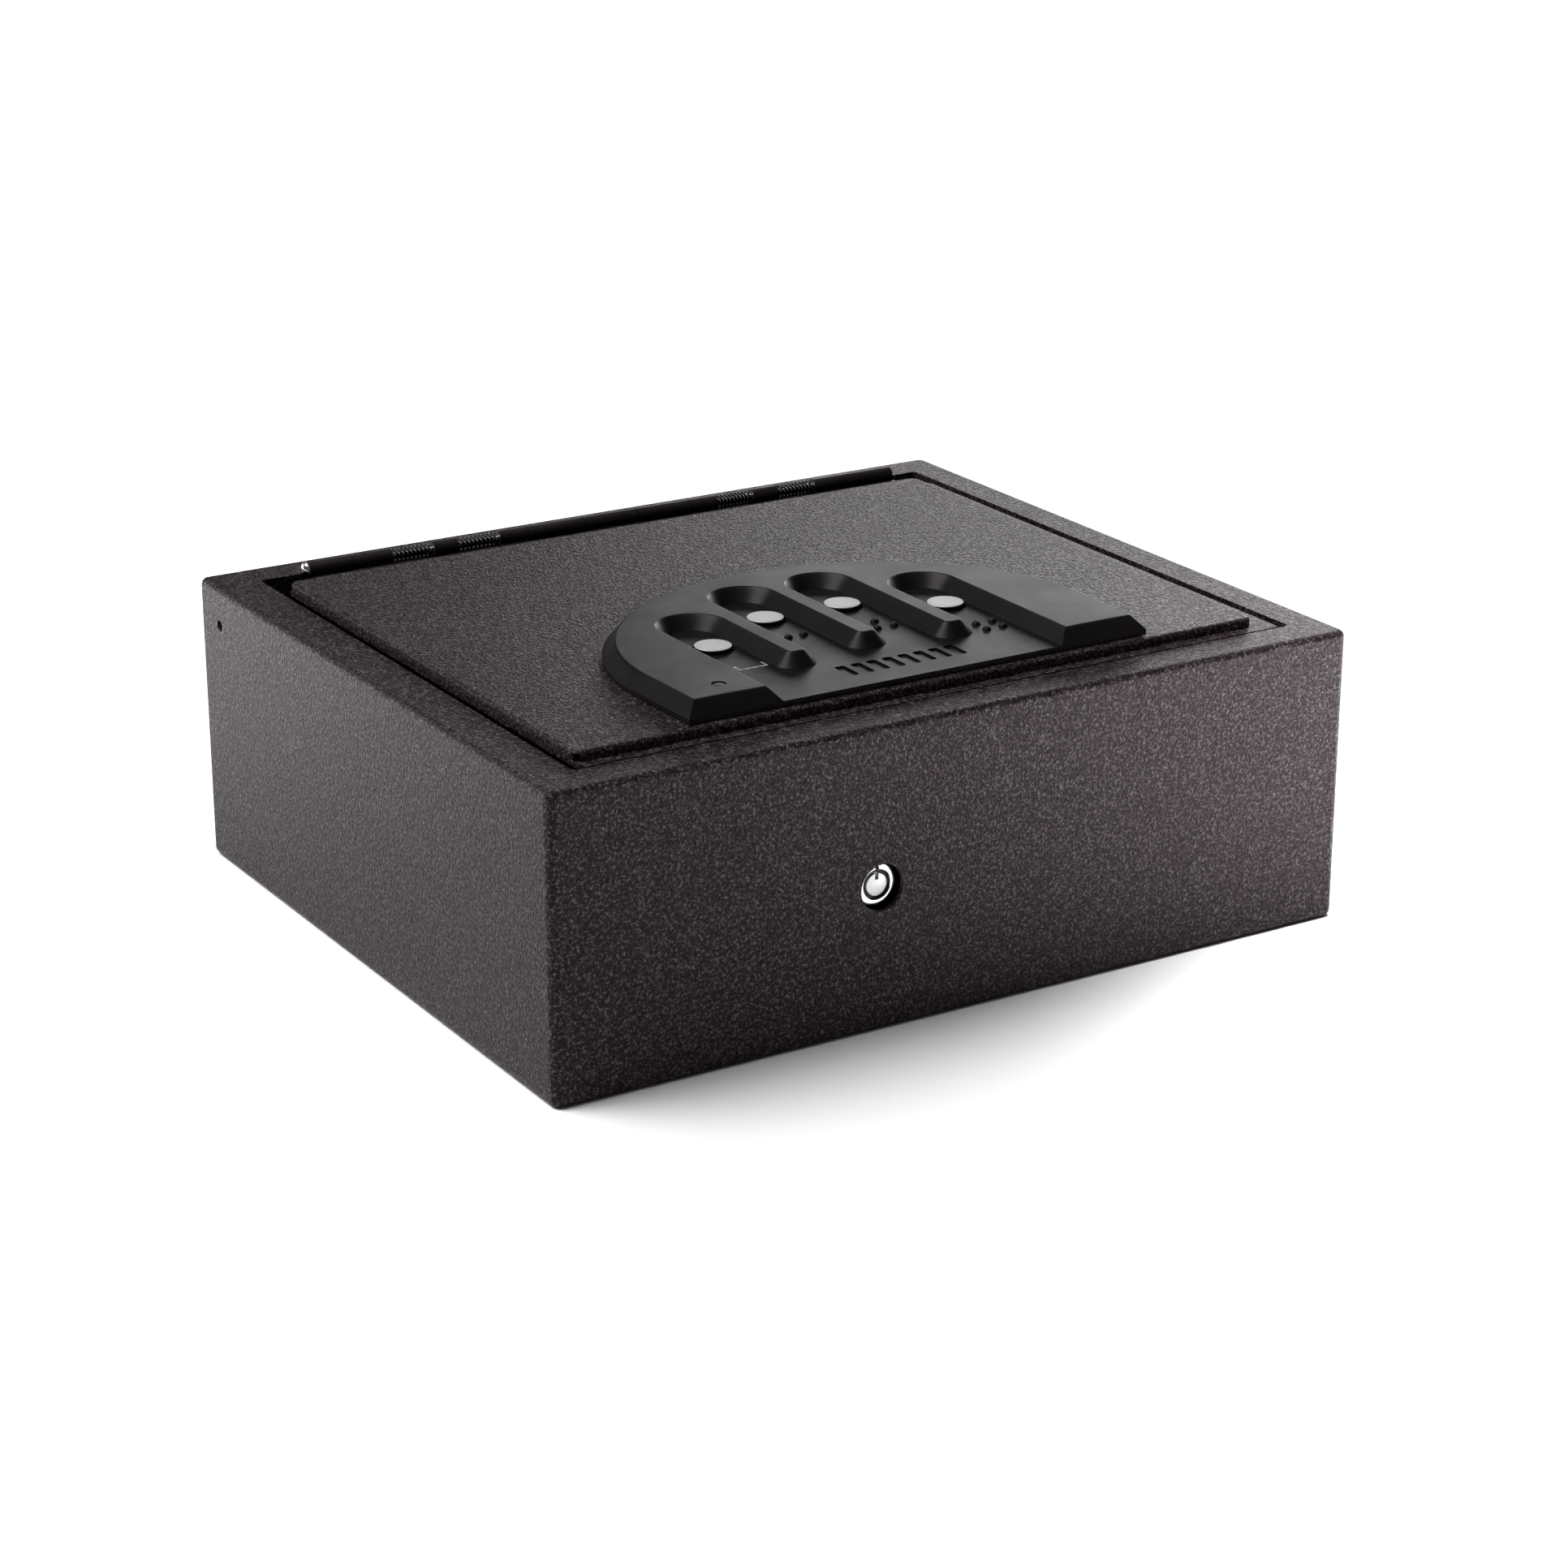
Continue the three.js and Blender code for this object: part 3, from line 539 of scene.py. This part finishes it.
def corners(node):
    """A CAD node's box in mm: x0, x1, y0, y1, z0, z1."""
    low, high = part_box(node)
    return [v * 1000 for pair in zip(low, high) for v in pair]


def middle(node):
    """The middle of a CAD node's box, in mm."""
    x0, x1, y0, y1, z0, z1 = corners(node)
    return (x0 + x1) / 2, (y0 + y1) / 2, (z0 + z1) / 2


def coil(name, x0, x1, y, z, wire, radius, turns, steps, slot, look=None):
    """A helical spring along X from x0 to x1, of round wire. wire and radius are radii, in mm, and
    steps is the number of sections in a turn."""
    count, sides = turns * steps, 10
    bm = bmesh.new()
    loops = []
    for i in range(count + 1):
        a = 2 * math.pi * turns * i / count
        along = x0 + wire + (x1 - x0 - 2 * wire) * i / count
        out = Vector((0, math.cos(a), math.sin(a)))
        loops.append(ring(bm, [mm(along + wire * math.cos(t), y, z)
                               + out * (radius + wire * math.sin(t)) * MM
                               for t in (2 * math.pi * k / sides for k in range(sides))]))
    for a, b in zip(loops, loops[1:]):
        bridge(bm, a, b)
    bm.faces.new(loops[0])
    bm.faces.new(list(reversed(loops[-1])))
    return make(name, bm, slot, look=look, sharp=60)


# ---- Case and lid ---------------------------------------------------------------------------

# The middles of the raised panel's folded edges, which meet at its front corners.
RAISED_LEFT, RAISED_RIGHT, RAISED_FRONT = -146.3, 141.5, -121.5


def corner_seam(x, y, side):
    """The slit left at a folded corner of the raised panel. side is -1 at the left, 1 at the right."""
    reach, half = 4.5, 0.75  # how far it runs in, and half its width
    outline = [(x + side * (1 - half), y - 1 - half), (x + side * (1 + half), y - 1 + half),
               (x + side * (half - reach), y + reach + half),
               (x - side * (half + reach), y + reach - half)]
    return plate("seam", outline, RIM + 0.1, RIM + 2.7, "powder_coat")


refine("case_shell", 0.3, 3, 45)
refine("lid_panel", 0.25, 3, 45, cutters=[corner_seam(RAISED_LEFT, RAISED_FRONT, -1),
                                          corner_seam(RAISED_RIGHT, RAISED_FRONT, 1)])
refine("lid_inner_plate", 0.3)


# ---- Keypad housing -------------------------------------------------------------------------
# A mesa with sloping sides stands on a thin D-shaped base. The mesa's outline runs round the D
# and in and out of the four finger channels; every row of its skirt is that outline, offset.

PAD_X, PAD_ARC_Y = -3.0, -80.0  # the middle of the D's round side
PAD_BOTTOM, PAD_FLOOR, PAD_TOP = RIM + 4.0, RIM + 6.0, RIM + 11.2
SKIRT = 4.6  # how far the mesa's walls slope out
TOP_HALF, TOP_DEPTH, TOP_FRONT = 93.3, 85.5, -113.6  # the mesa's top
LEAN = 0.9  # how far the D's straight sides come in towards the front
ARC_STEPS, CHANNEL_STEPS, NOSE_STEPS = 120, 28, 7
PITCH, CHANNEL = 33.6, 13.3  # the channels' spacing, and their half width at the top
CHANNEL_ENDS = (-27.0, -7.5, -7.5, -27.0)
NOSES = (-86.4, -80.2, -86.4)
NOSE_RADIUS = 2.2
FINGERS = [PAD_X + step * PITCH for step in (-1.5, -0.5, 0.5, 1.5)]
BUTTON_HOLE = 7.9
SLOTS, SLOT_PITCH, SLOT_HALF, SLOT_DEPTH = 8, 6.6, 2.1, 0.7  # the plain slots of the palm rest
SLOT_MIDDLE, SLOT_FRONT, SLOT_BACK = -2.5, -107, -96


def arc(cx, cy, radius, start, end, steps, turn=1):
    """Points of an arc, each with the direction away from the mesa. turn is -1 in a hollow."""
    for i in range(steps + 1):
        a = math.radians(start + (end - start) * i / steps)
        c, s = math.cos(a), math.sin(a)
        yield cx + radius * c, cy + radius * s, turn * c, turn * s


def mesa_outline():
    """Clockwise from the right front corner: along the front, through the channels, and back
    round the D. Each point carries the offset that keeps every wall parallel to itself."""
    slant = 1.0 / 38.2  # the base's sides lean in by 1 mm over their length
    points = [(PAD_X + TOP_HALF - LEAN, TOP_FRONT, 1 - slant, -1)]
    inner = FINGERS[3] + CHANNEL
    points.append((inner, TOP_FRONT, -1, -1))
    for i in (3, 2, 1, 0):
        centre, end = FINGERS[i], CHANNEL_ENDS[i] - CHANNEL
        points += arc(centre, end, CHANNEL, 0, 180, CHANNEL_STEPS, -1)
        if i:
            left = centre - CHANNEL
            right = FINGERS[i - 1] + CHANNEL
            low = NOSES[i - 1] + NOSE_RADIUS
            points += arc(left - NOSE_RADIUS, low, NOSE_RADIUS, 0, -90, NOSE_STEPS)
            points += arc(right + NOSE_RADIUS, low, NOSE_RADIUS, -90, -180, NOSE_STEPS)
    points.append((FINGERS[0] - CHANNEL, TOP_FRONT, 1, -1))
    points.append((PAD_X - TOP_HALF + LEAN, TOP_FRONT, -(1 - slant), -1))
    for i in range(ARC_STEPS + 1):
        a = math.pi - math.pi * i / ARC_STEPS
        c, s = math.cos(a), math.sin(a)
        nx, ny = c / TOP_HALF, s / TOP_DEPTH
        length = math.hypot(nx, ny)
        points.append((PAD_X + TOP_HALF * c, PAD_ARC_Y + TOP_DEPTH * s, nx / length, ny / length))
    return points


def keypad_mesa():
    """The mesa. Each row of its skirt is (offset of the outline, drop from the top)."""
    drop = PAD_TOP - PAD_FLOOR
    rows = [(-0.55, 0.0), (-0.30, 0.035), (-0.08, 0.13), (0.12, 0.31)]
    rows += [(SKIRT * t, drop * t) for t in (0.12, 0.35, 0.65, 0.90)]
    rows += [(SKIRT * 0.955, drop * 0.95), (SKIRT - 0.03, drop * 0.985), (SKIRT, drop)]
    outline = mesa_outline()
    bm = bmesh.new()
    loops = [ring(bm, [mm(x + nx * out, y + ny * out, PAD_TOP - down) for x, y, nx, ny in outline])
             for out, down in rows]
    for a, b in zip(loops, loops[1:]):
        bridge(bm, a, b)
    bm.faces.new(loops[0])
    bm.faces.new(list(reversed(loops[-1])))
    bmesh.ops.remove_doubles(bm, verts=bm.verts, dist=1e-7)
    mesa = make("keypad_mesa", bm, "moulding")
    x, y, _ = middle("status_lens")
    carve(mesa, plate("recess", circle(x, y, 2.75, 32), PAD_TOP - 1.6, PAD_TOP + 1, "moulding"))
    smooth(mesa, sharp=38)
    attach(mesa, "lid")
    return mesa


def keypad_base():
    """The D-shaped base, with the buttons' holes and the palm rest's slots."""
    half, depth = TOP_HALF + SKIRT, TOP_DEPTH + SKIRT
    front = TOP_FRONT - SKIRT
    outline = [(PAD_X + half - 1, front)]
    for i in range(ARC_STEPS + 1):
        a = math.pi * i / ARC_STEPS
        outline.append((PAD_X + half * math.cos(a), PAD_ARC_Y + depth * math.sin(a)))
    outline.append((PAD_X - half + 1, front))
    base = plate("keypad_base", outline, PAD_BOTTOM, PAD_FLOOR, "moulding")
    cutters = []
    for i in range(1, 5):
        x, y, _ = middle("button_cap_%d" % i)
        cutters.append(plate("hole", circle(x, y, BUTTON_HOLE, 56), PAD_BOTTOM - 1, PAD_FLOOR + 1,
                             "moulding"))
    for i in range(SLOTS):
        x = SLOT_MIDDLE + (i - (SLOTS - 1) / 2) * SLOT_PITCH
        cutters.append(plate("slot", rectangle(x - SLOT_HALF, x + SLOT_HALF, SLOT_FRONT, SLOT_BACK, 1.0),
                             PAD_FLOOR - SLOT_DEPTH, PAD_FLOOR + 1, "moulding"))
    carve(base, *cutters)
    soften(base, 0.16, 2, 50)
    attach(base, "lid")
    return base


def number_dots():
    """Raised domes that number the buttons: two, three and four of them."""
    apart = 3.6  # half the spacing of a group
    dots = [(FINGERS[1] - apart, -58.5), (FINGERS[1] + 2.8, -58.5), (FINGERS[2], -58.7)]
    dots += [(FINGERS[2] + side * apart, -66.2) for side in (-1, 1)]
    dots += [(FINGERS[3] + side * apart, y) for side in (-1, 1) for y in (-81, -88)]
    radius, height, steps = 1.6, 1.5, 8
    foot, sunk, step = radius + 0.15, PAD_FLOOR - 0.5, PAD_FLOOR + 0.02
    dome = [(radius * math.cos(a), PAD_FLOOR + height * math.sin(a))
            for a in (math.pi / 2 * k / steps for k in range(1, steps))]
    profile = [(0, sunk), (foot, sunk), (foot, step)] + dome + [(0, PAD_FLOOR + height)]
    for i, (x, y) in enumerate(dots):
        turned("number_dot_%d" % (i + 1), "z", (x, y, 0), profile, "moulding", "lid", segments=32)


def channel_mark():
    """A plain printed bracket on the floor of the first channel."""
    left, right, front, back, stroke = -58, -46, -81.6, -77, 0.9
    outline = [(left, back), (left, front), (right, front), (right, back), (right - stroke, back),
               (right - stroke, front + stroke), (left + stroke, front + stroke),
               (left + stroke, back)]
    bm = bmesh.new()
    low_loop = ring(bm, [mm(x, y, PAD_FLOOR - 0.1) for x, y in outline])
    high_loop = ring(bm, [mm(x, y, PAD_FLOOR + 0.04) for x, y in outline])
    bridge(bm, low_loop, high_loop)
    bm.faces.new(high_loop)
    bm.faces.new(list(reversed(low_loop)))
    make("channel_mark", bm, "button_metal", "lid", look=PRINT)


def status_window():
    """The small domed window of the status light."""
    x, y, _ = middle("status_lens")
    *_, z0, z1 = corners("status_lens")
    turned("status_window", "z", (x, y, 0),
           [(0, z0), (2.3, z0), (2.5, z0 + 0.1), (2.55, z1 + 0.2), (2.4, z1 + 0.36),
            (1.2, z1 + 0.48), (0, z1 + 0.5)],
           "lens", "lid", ["status_lens"], 40)


def push_button(i):
    """A metal cap with a rolled edge, on a rubber boot."""
    x, y, _ = middle("button_cap_%d" % i)
    *_, z0, z1 = corners("button_cap_%d" % i)
    turned("button_face_%d" % i, "z", (x, y, 0),
           [(0, z0), (2, z0), (2, z1 - 0.72), (6.5, z1 - 0.70), (6.78, z1 - 0.62), (6.9, z1 - 0.46),
            (6.86, z1 - 0.26), (6.7, z1 - 0.12), (6.4, z1 - 0.06), (4.5, z1 - 0.02), (0, z1)],
           "button_metal", "button_%d" % i, ["button_cap_%d" % i], 72)
    z0 = corners("button_stem_%d" % i)[4]
    turned("button_boot_%d" % i, "z", (x, y, 0),
           [(0, z0), (4, z0), (4.2, z0 + 0.2), (4.2, z0 + 2.2), (6.1, z0 + 2.3), (6.4, z0 + 2.5),
            (6.4, z0 + 3.7), (6.2, z0 + 3.88), (2.4, z0 + 3.9), (2.3, z0 + 1.8), (0, z0 + 1.7)],
           "black_rubber", "button_%d" % i, ["button_stem_%d" % i], 56)


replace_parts(keypad_mesa(), "keypad_housing")
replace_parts(keypad_base(), "keypad_housing")
number_dots()
channel_mark()
status_window()
for i in range(1, 5):
    push_button(i)


# ---- Hinge ----------------------------------------------------------------------------------

HINGE_Y, HINGE_Z = 122.8, RIM + 2.1


def hinge_rod():
    """The hinge pin, with a domed head at its left end."""
    x0, x1, *_ = corners("hinge_pin")
    turned("hinge_rod", "x", (0, HINGE_Y, HINGE_Z),
           [(0, x0), (0.9, x0 + 0.06), (1.7, x0 + 0.24), (2.4, x0 + 0.56), (2.9, x0 + 0.96),
            (3.2, x0 + 1.4), (3.3, x0 + 1.75), (3.25, x0 + 1.95), (3.1, x0 + 2), (1.35, x0 + 2),
            (1.35, x1 - 0.3), (1.1, x1), (0, x1)],
           "bright_chrome", "case", ["hinge_pin"], 56)


def torsion_spring(number):
    """A spring wound round the pin, between the case's knuckle and the lid's. It rides on no body."""
    x0, x1, *_ = corners("torsion_spring_%d" % number)
    spring = coil("spring_wire_%d" % number, x0, x1, HINGE_Y, HINGE_Z, 0.40, 2.42, 9, 28,
                  "dark_steel", SPRING)
    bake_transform(spring)
    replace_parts(spring, "torsion_spring_%d" % number)


refine("hinge_case_leaf", 0.35, 2, 50)
refine("hinge_lid_leaf", 0.35, 2, 50)
hinge_rod()
for number, lid_on_left in ((1, True), (2, False), (3, True), (4, False)):
    torsion_spring(number)


# ---- Override lock --------------------------------------------------------------------------

LOCK_X, LOCK_Z = -37.0, 54.0
KEY_HALF = 0.75  # half the width of the notches that take the key


def lock_face():
    """The lock's ring, its post, and a dark ring in the round slot between them that stands in for the
    slot's shade.
    """
    _, _, front, back, _, _ = corners("lock_shell")
    ring_piece = turned("lock_ring", "y", (LOCK_X, 0, LOCK_Z),
                        [(5.6, front + 0.25), (5.8, front + 0.05), (6.1, front), (7.5, front),
                         (7.85, front + 0.1), (8.0, front + 0.4), (8.0, front + 6.5),
                         (9.5, front + 6.6), (9.5, front + 8.5), (8.0, front + 8.6), (8.0, back),
                         (5.6, back), (5.6, front + 0.25)], "bright_chrome", None, (), 96)
    notch = plate("notch", rectangle(LOCK_X - KEY_HALF, LOCK_X + KEY_HALF, front - 1, front + 2.5),
                  LOCK_Z + 4.6, LOCK_Z + 6.9, "bright_chrome")
    carve(ring_piece, notch)
    dress(ring_piece, "bright_chrome", "case", ["lock_shell"], sharp=30)
    _, _, front, back, _, _ = corners("lock_plug")
    plug = turned("lock_post", "y", (LOCK_X, 0, LOCK_Z),
                  [(0, front), (3.85, front), (4.15, front + 0.08), (4.3, front + 0.3),
                   (4.3, front + 6.8), (5.3, front + 6.8), (5.3, front + 21), (3.0, front + 21),
                   (3.0, back), (0, back)], "bright_chrome", None, (), 96)
    slot = plate("slot", rectangle(LOCK_X - KEY_HALF, LOCK_X + KEY_HALF, front - 1, front + 1.8),
                 LOCK_Z + 1.9, LOCK_Z + 5.3, "bright_chrome")
    carve(plug, slot)
    dress(plug, "bright_chrome", "key_plug", ["lock_plug"], look=SATIN_STEEL, sharp=30)
    # A dark steel ring fills the keyway between the ring and the post, just behind the face: painted
    # shade for a deep slot.
    turned("keyway_shade_ring", "y", (LOCK_X, 0, LOCK_Z),
           [(4.4, front + 1.2), (5.5, front + 1.2), (5.5, front + 6.4), (4.4, front + 6.4),
            (4.4, front + 1.2)], "dark_steel", "case", (), 64)


lock_face()
for node in ("lock_mount", "lock_nut", "lock_cam", "cam_screw"):
    refine(node, 0.25)


# ---- Foam -----------------------------------------------------------------------------------


def foam_slab(name, node, face, bump_height, pitch, drop):
    """A cut foam slab. Its face ('up' or 'down') carries bumps of a height and pitch, and falls
    away at its border by drop. All are in mm."""
    x0, x1, y0, y1, z0, z1 = corners(node)
    step, border_width = 3.0, 6.0
    nx, ny = int((x1 - x0) / step), int((y1 - y0) / step)
    bm = bmesh.new()

    def edge_drop(x, y):
        near = min(x - x0, x1 - x, y - y0, y1 - y)
        return drop * max(0.0, 1 - near / border_width) ** 2

    grid, back = [], []
    for j in range(ny + 1):
        y = y0 + (y1 - y0) * j / ny
        row, flat = [], []
        for i in range(nx + 1):
            x = x0 + (x1 - x0) * i / nx
            wave = 0.5 + 0.25 * (math.cos(2 * math.pi * (x - x0) / pitch)
                                 + math.cos(2 * math.pi * (y - y0) / pitch)) if bump_height else 0
            depth = bump_height * (1 - wave) + edge_drop(x, y)
            row.append(bm.verts.new(mm(x, y, z1 - depth if face == "up" else z0 + depth)))
            flat.append(bm.verts.new(mm(x, y, z0 if face == "up" else z1)))
        grid.append(row)
        back.append(flat)
    for rows in (grid, back):
        for j in range(ny):
            for i in range(nx):
                bm.faces.new((rows[j][i], rows[j][i + 1], rows[j + 1][i + 1], rows[j + 1][i]))
    border = [(0, i) for i in range(nx)] + [(j, nx) for j in range(ny)]
    border += [(ny, i) for i in range(nx, 0, -1)] + [(j, 0) for j in range(ny, 0, -1)]
    bridge(bm, [grid[j][i] for j, i in border], [back[j][i] for j, i in border])
    slab = make(name, bm, "foam", sharp=60)
    soften(slab, 0.8, 3, 60)
    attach(slab, BODY_OF[node])
    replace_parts(slab, node)


foam_slab("floor_pad", "floor_foam", "up", 0.0, 1.0, 1.5)
foam_slab("lid_pad", "lid_foam", "down", 5.0, 25.0, 1.8)


# ---- Latch, solenoid and control box --------------------------------------------------------

for node in ("latch_keeper", "latch_bolt", "latch_bracket", "lid_stop_left", "lid_stop_right"):
    refine(node, 0.3)
for node in ("stop_pad_left", "stop_pad_right"):
    refine(node, 0.6, 3)
for node in ("control_box", "battery_cover"):
    refine(node, 0.4, 3)
refine("battery", 0.8, 3)
refine("keypad_board", 0.15)
refine("control_board", 0.15)


def return_spring():
    """The latch's spring, round the plunger, between the solenoid and the plunger's head. It rides on no
    body.
    """
    x0, x1, *_ = corners("latch_spring")
    _, y, z = middle("latch_spring")
    spring = coil("return_spring", x0, x1, y, z, 0.45, 4.75, 6, 32, "zinc_steel")
    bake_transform(spring)
    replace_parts(spring, "latch_spring")


def plunger_rod():
    """The solenoid's plunger, with a broad head that the latch hooks on."""
    x0, x1, *_ = corners("solenoid_plunger")
    _, y, z = middle("solenoid_plunger")
    turned("plunger_rod", "x", (0, y, z),
           [(0, x0), (5.6, x0), (6, x0 + 0.3), (6, x0 + 1.5), (5.8, x0 + 1.7), (3.8, x0 + 1.8),
            (3.8, x1 - 1), (3.0, x1), (0, x1)], "zinc_steel", "latch", ["solenoid_plunger"], 48)


def solenoid():
    """An open frame of folded steel round a wound bobbin."""
    x0, x1, y0, y1, z0, z1 = corners("solenoid")
    _, cy, cz = middle("solenoid")
    sheet, fillet = 1.6, 0.8
    top = plate("solenoid_yoke", rectangle(x0, x1, y0, y1, fillet), z1 - sheet, z1, "dark_steel")
    soften(top, 0.3, 2)
    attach(top, "lid")
    for name, at, bore in (("left", x0, 4.1), ("right", x1 - sheet, 0)):
        bm = bmesh.new()
        outline = rectangle(y0, y1, z0, z1 - sheet - 0.1, fillet)
        rows = [ring(bm, [mm(x, u, v) for u, v in outline]) for x in (at, at + sheet)]
        bridge(bm, *rows)
        bm.faces.new(rows[0])
        bm.faces.new(list(reversed(rows[1])))
        cheek = make("solenoid_cheek_" + name, bm, "dark_steel")
        if bore:
            carve(cheek, turned("bore", "x", (0, cy, cz), [(0, at - 1), (bore, at - 1),
                                (bore, at + 3), (0, at + 3)], "dark_steel", None))
        soften(cheek, 0.3, 2)
        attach(cheek, "lid")
    radius = (z1 - z0) / 2 - 2.0
    turned("solenoid_winding", "x", (0, cy, cz - 0.6),
           [(4.1, x0 + 1.8), (radius, x0 + 1.8), (radius + 0.4, x0 + 2.0), (radius + 0.4, x0 + 2.8),
            (radius - 0.4, x0 + 3.0), (radius - 0.1, (x0 + x1) / 2), (radius - 0.4, x1 - 3.0),
            (radius + 0.4, x1 - 2.8), (radius + 0.4, x1 - 2.0), (radius, x1 - 1.8),
            (4.1, x1 - 1.8), (4.1, x0 + 1.8)], "dark_steel", "lid", ["solenoid"], 56, look=COPPER)


def fixing(node, kind):
    """A pan-head screw with a cross recess, or a domed rivet, with its head pointing down."""
    x, y, _ = middle(node)
    *_, z0, z1 = corners(node)
    head = 1.8 if kind == "screw" else 1.2
    long, wide, deep = 1.5, 0.28, 0.9  # the cross: each arm's length, half its width, and its depth
    obj = turned(node + "_turned", "z", (x, y, 0),
                 [(0, z0), (1.3, z0 + 0.03), (2.2, z0 + 0.18), (2.75, z0 + 0.48), (3.0, z0 + 0.9),
                  (3.0, z0 + head), (1.45, z0 + head), (1.45, z1 - 0.2), (1.2, z1), (0, z1)],
                 "zinc_steel", None, (), 40)
    if kind == "screw":
        arms = [rectangle(x - a, x + a, y - b, y + b) for a, b in ((long, wide), (wide, long))]
        carve(obj, *(plate("cross", arm, z0 - 1, z0 + deep, "zinc_steel") for arm in arms))
    dress(obj, "zinc_steel", "lid", [node], sharp=30)


return_spring()
plunger_rod()
solenoid()
for i in (1, 2, 3):
    fixing("box_screw_%d" % i, "screw")
for i in (1, 2):
    fixing("bracket_rivet_%d" % i, "rivet")


# ---- Floor, light and camera ----------------------------------------------------------------


def studio_floor():
    """A wide sheet of pale paper under the object."""
    bm = bmesh.new()
    bmesh.ops.create_grid(bm, x_segments=8, y_segments=8, size=30.0)
    mesh = bpy.data.meshes.new("studio_floor")
    bm.to_mesh(mesh)
    bm.free()
    floor = bpy.data.objects.new("studio_floor", mesh)
    SCENE.collection.objects.link(floor)
    floor.location.z = CAD_BOX[0].z - 0.0002
    look = Look("studio_paper", roughness=0.9, Specular_IOR_Level=0.1)
    look.colour(look.ramp(look.noise(3.0), (0.3, (0.93, 0.93, 0.93)), (0.7, (0.95, 0.95, 0.95))))
    mesh.materials.append(look.material)


def add_light(name, kind, place, aim, strength):
    """A light at a place, in metres, that points at another."""
    data = bpy.data.lights.new(name, kind)
    data.energy = strength
    light = bpy.data.objects.new(name, data)
    SCENE.collection.objects.link(light)
    light.location = place
    light.rotation_mode = "QUATERNION"
    light.rotation_quaternion = (Vector(aim) - Vector(place)).to_track_quat("-Z", "Y")
    light.visible_camera = False
    return data


def toward(azimuth, elevation, distance):
    """A place seen from the object: azimuth 0 is straight behind it, and 90 is to its right."""
    a, e = math.radians(azimuth), math.radians(elevation)
    return Vector((math.sin(a) * math.cos(e), math.cos(a) * math.cos(e), math.sin(e))) * distance


def overhead(name, azimuth, elevation, strength, width):
    """A very wide, far light, which gives the paper its even brightness."""
    data = add_light(name, "SUN", toward(azimuth, elevation, 3.0), (0, 0, 0), strength)
    data.angle = math.radians(width)


def softbox(name, azimuth, elevation, radiance):
    """A large, even panel of light behind the object, which the tops of the steel reflect."""
    width, height, distance = 0.9, 0.7, 2.2
    aim = Vector((0, 0, 0.08))  # two thirds of the way up the object
    data = add_light(name, "AREA", aim + toward(azimuth, elevation, distance), aim,
                     radiance * math.pi * width * height)
    data.shape = "RECTANGLE"
    data.size, data.size_y = width, height


def pool(name, x, y, radius, brightness):
    """A soft-edged round pool of light on the paper, which the upright sides reflect."""
    height = 2.2
    unit = 4 * math.pi ** 2 / 0.87  # the power that makes a pool of brightness 1 from a metre up
    data = add_light(name, "SPOT", (x, y, height), (x, y, 0), brightness * unit * height ** 2)
    data.spot_size = 2 * math.atan(radius / height)
    data.spot_blend = 0.9
    data.shadow_soft_size = 0.25


def backdrop(seen_strength, light_strength):
    """A white backdrop, which gives the object only a little of its light."""
    world = bpy.data.worlds.new("studio")
    world.use_nodes = True
    background = world.node_tree.nodes["Background"]
    background.inputs["Color"].default_value = (1, 1, 1, 1)
    seen = world.node_tree.nodes.new("ShaderNodeLightPath").outputs["Is Camera Ray"]
    strength = world.node_tree.nodes.new("ShaderNodeMapRange")
    strength.inputs["To Min"].default_value = light_strength
    strength.inputs["To Max"].default_value = seen_strength
    world.node_tree.links.new(seen, strength.inputs["Value"])
    world.node_tree.links.new(strength.outputs["Result"], background.inputs["Strength"])
    SCENE.world = world


def studio_camera(place, yaw, pitch_down, lens):
    """The camera, turned to the right by yaw and down by pitch_down, in radians."""
    data = bpy.data.cameras.new("camera")
    camera = bpy.data.objects.new("camera", data)
    SCENE.collection.objects.link(camera)
    SCENE.camera = camera
    data.sensor_width = 36.0
    data.lens = lens
    data.clip_start, data.clip_end = 0.05, 50.0
    camera.location = place
    camera.rotation_mode = "XYZ"
    camera.rotation_euler = (math.pi / 2 - pitch_down, 0.0, -yaw)


studio_floor()
backdrop(seen_strength=1.0, light_strength=0.08)
SCENE.view_settings.view_transform = "Standard"
overhead("overhead_top", 0, 90, 0.35, 60)
overhead("overhead_left", -60, 60, 3.6, 40)
softbox("softbox_back", 40, 14, 2.9)
softbox("softbox_right", 55, 15, 4.6)
softbox("softbox_left", -30, 6, 3.6)
pool("pool_back_left", -0.45, 0.55, 0.35, 4.0)
pool("pool_front_right", 0.45, -0.40, 0.30, 18.0)
studio_camera((-0.70557, -1.16654, 0.54020), yaw=0.550589, pitch_down=0.351069, lens=86.15)
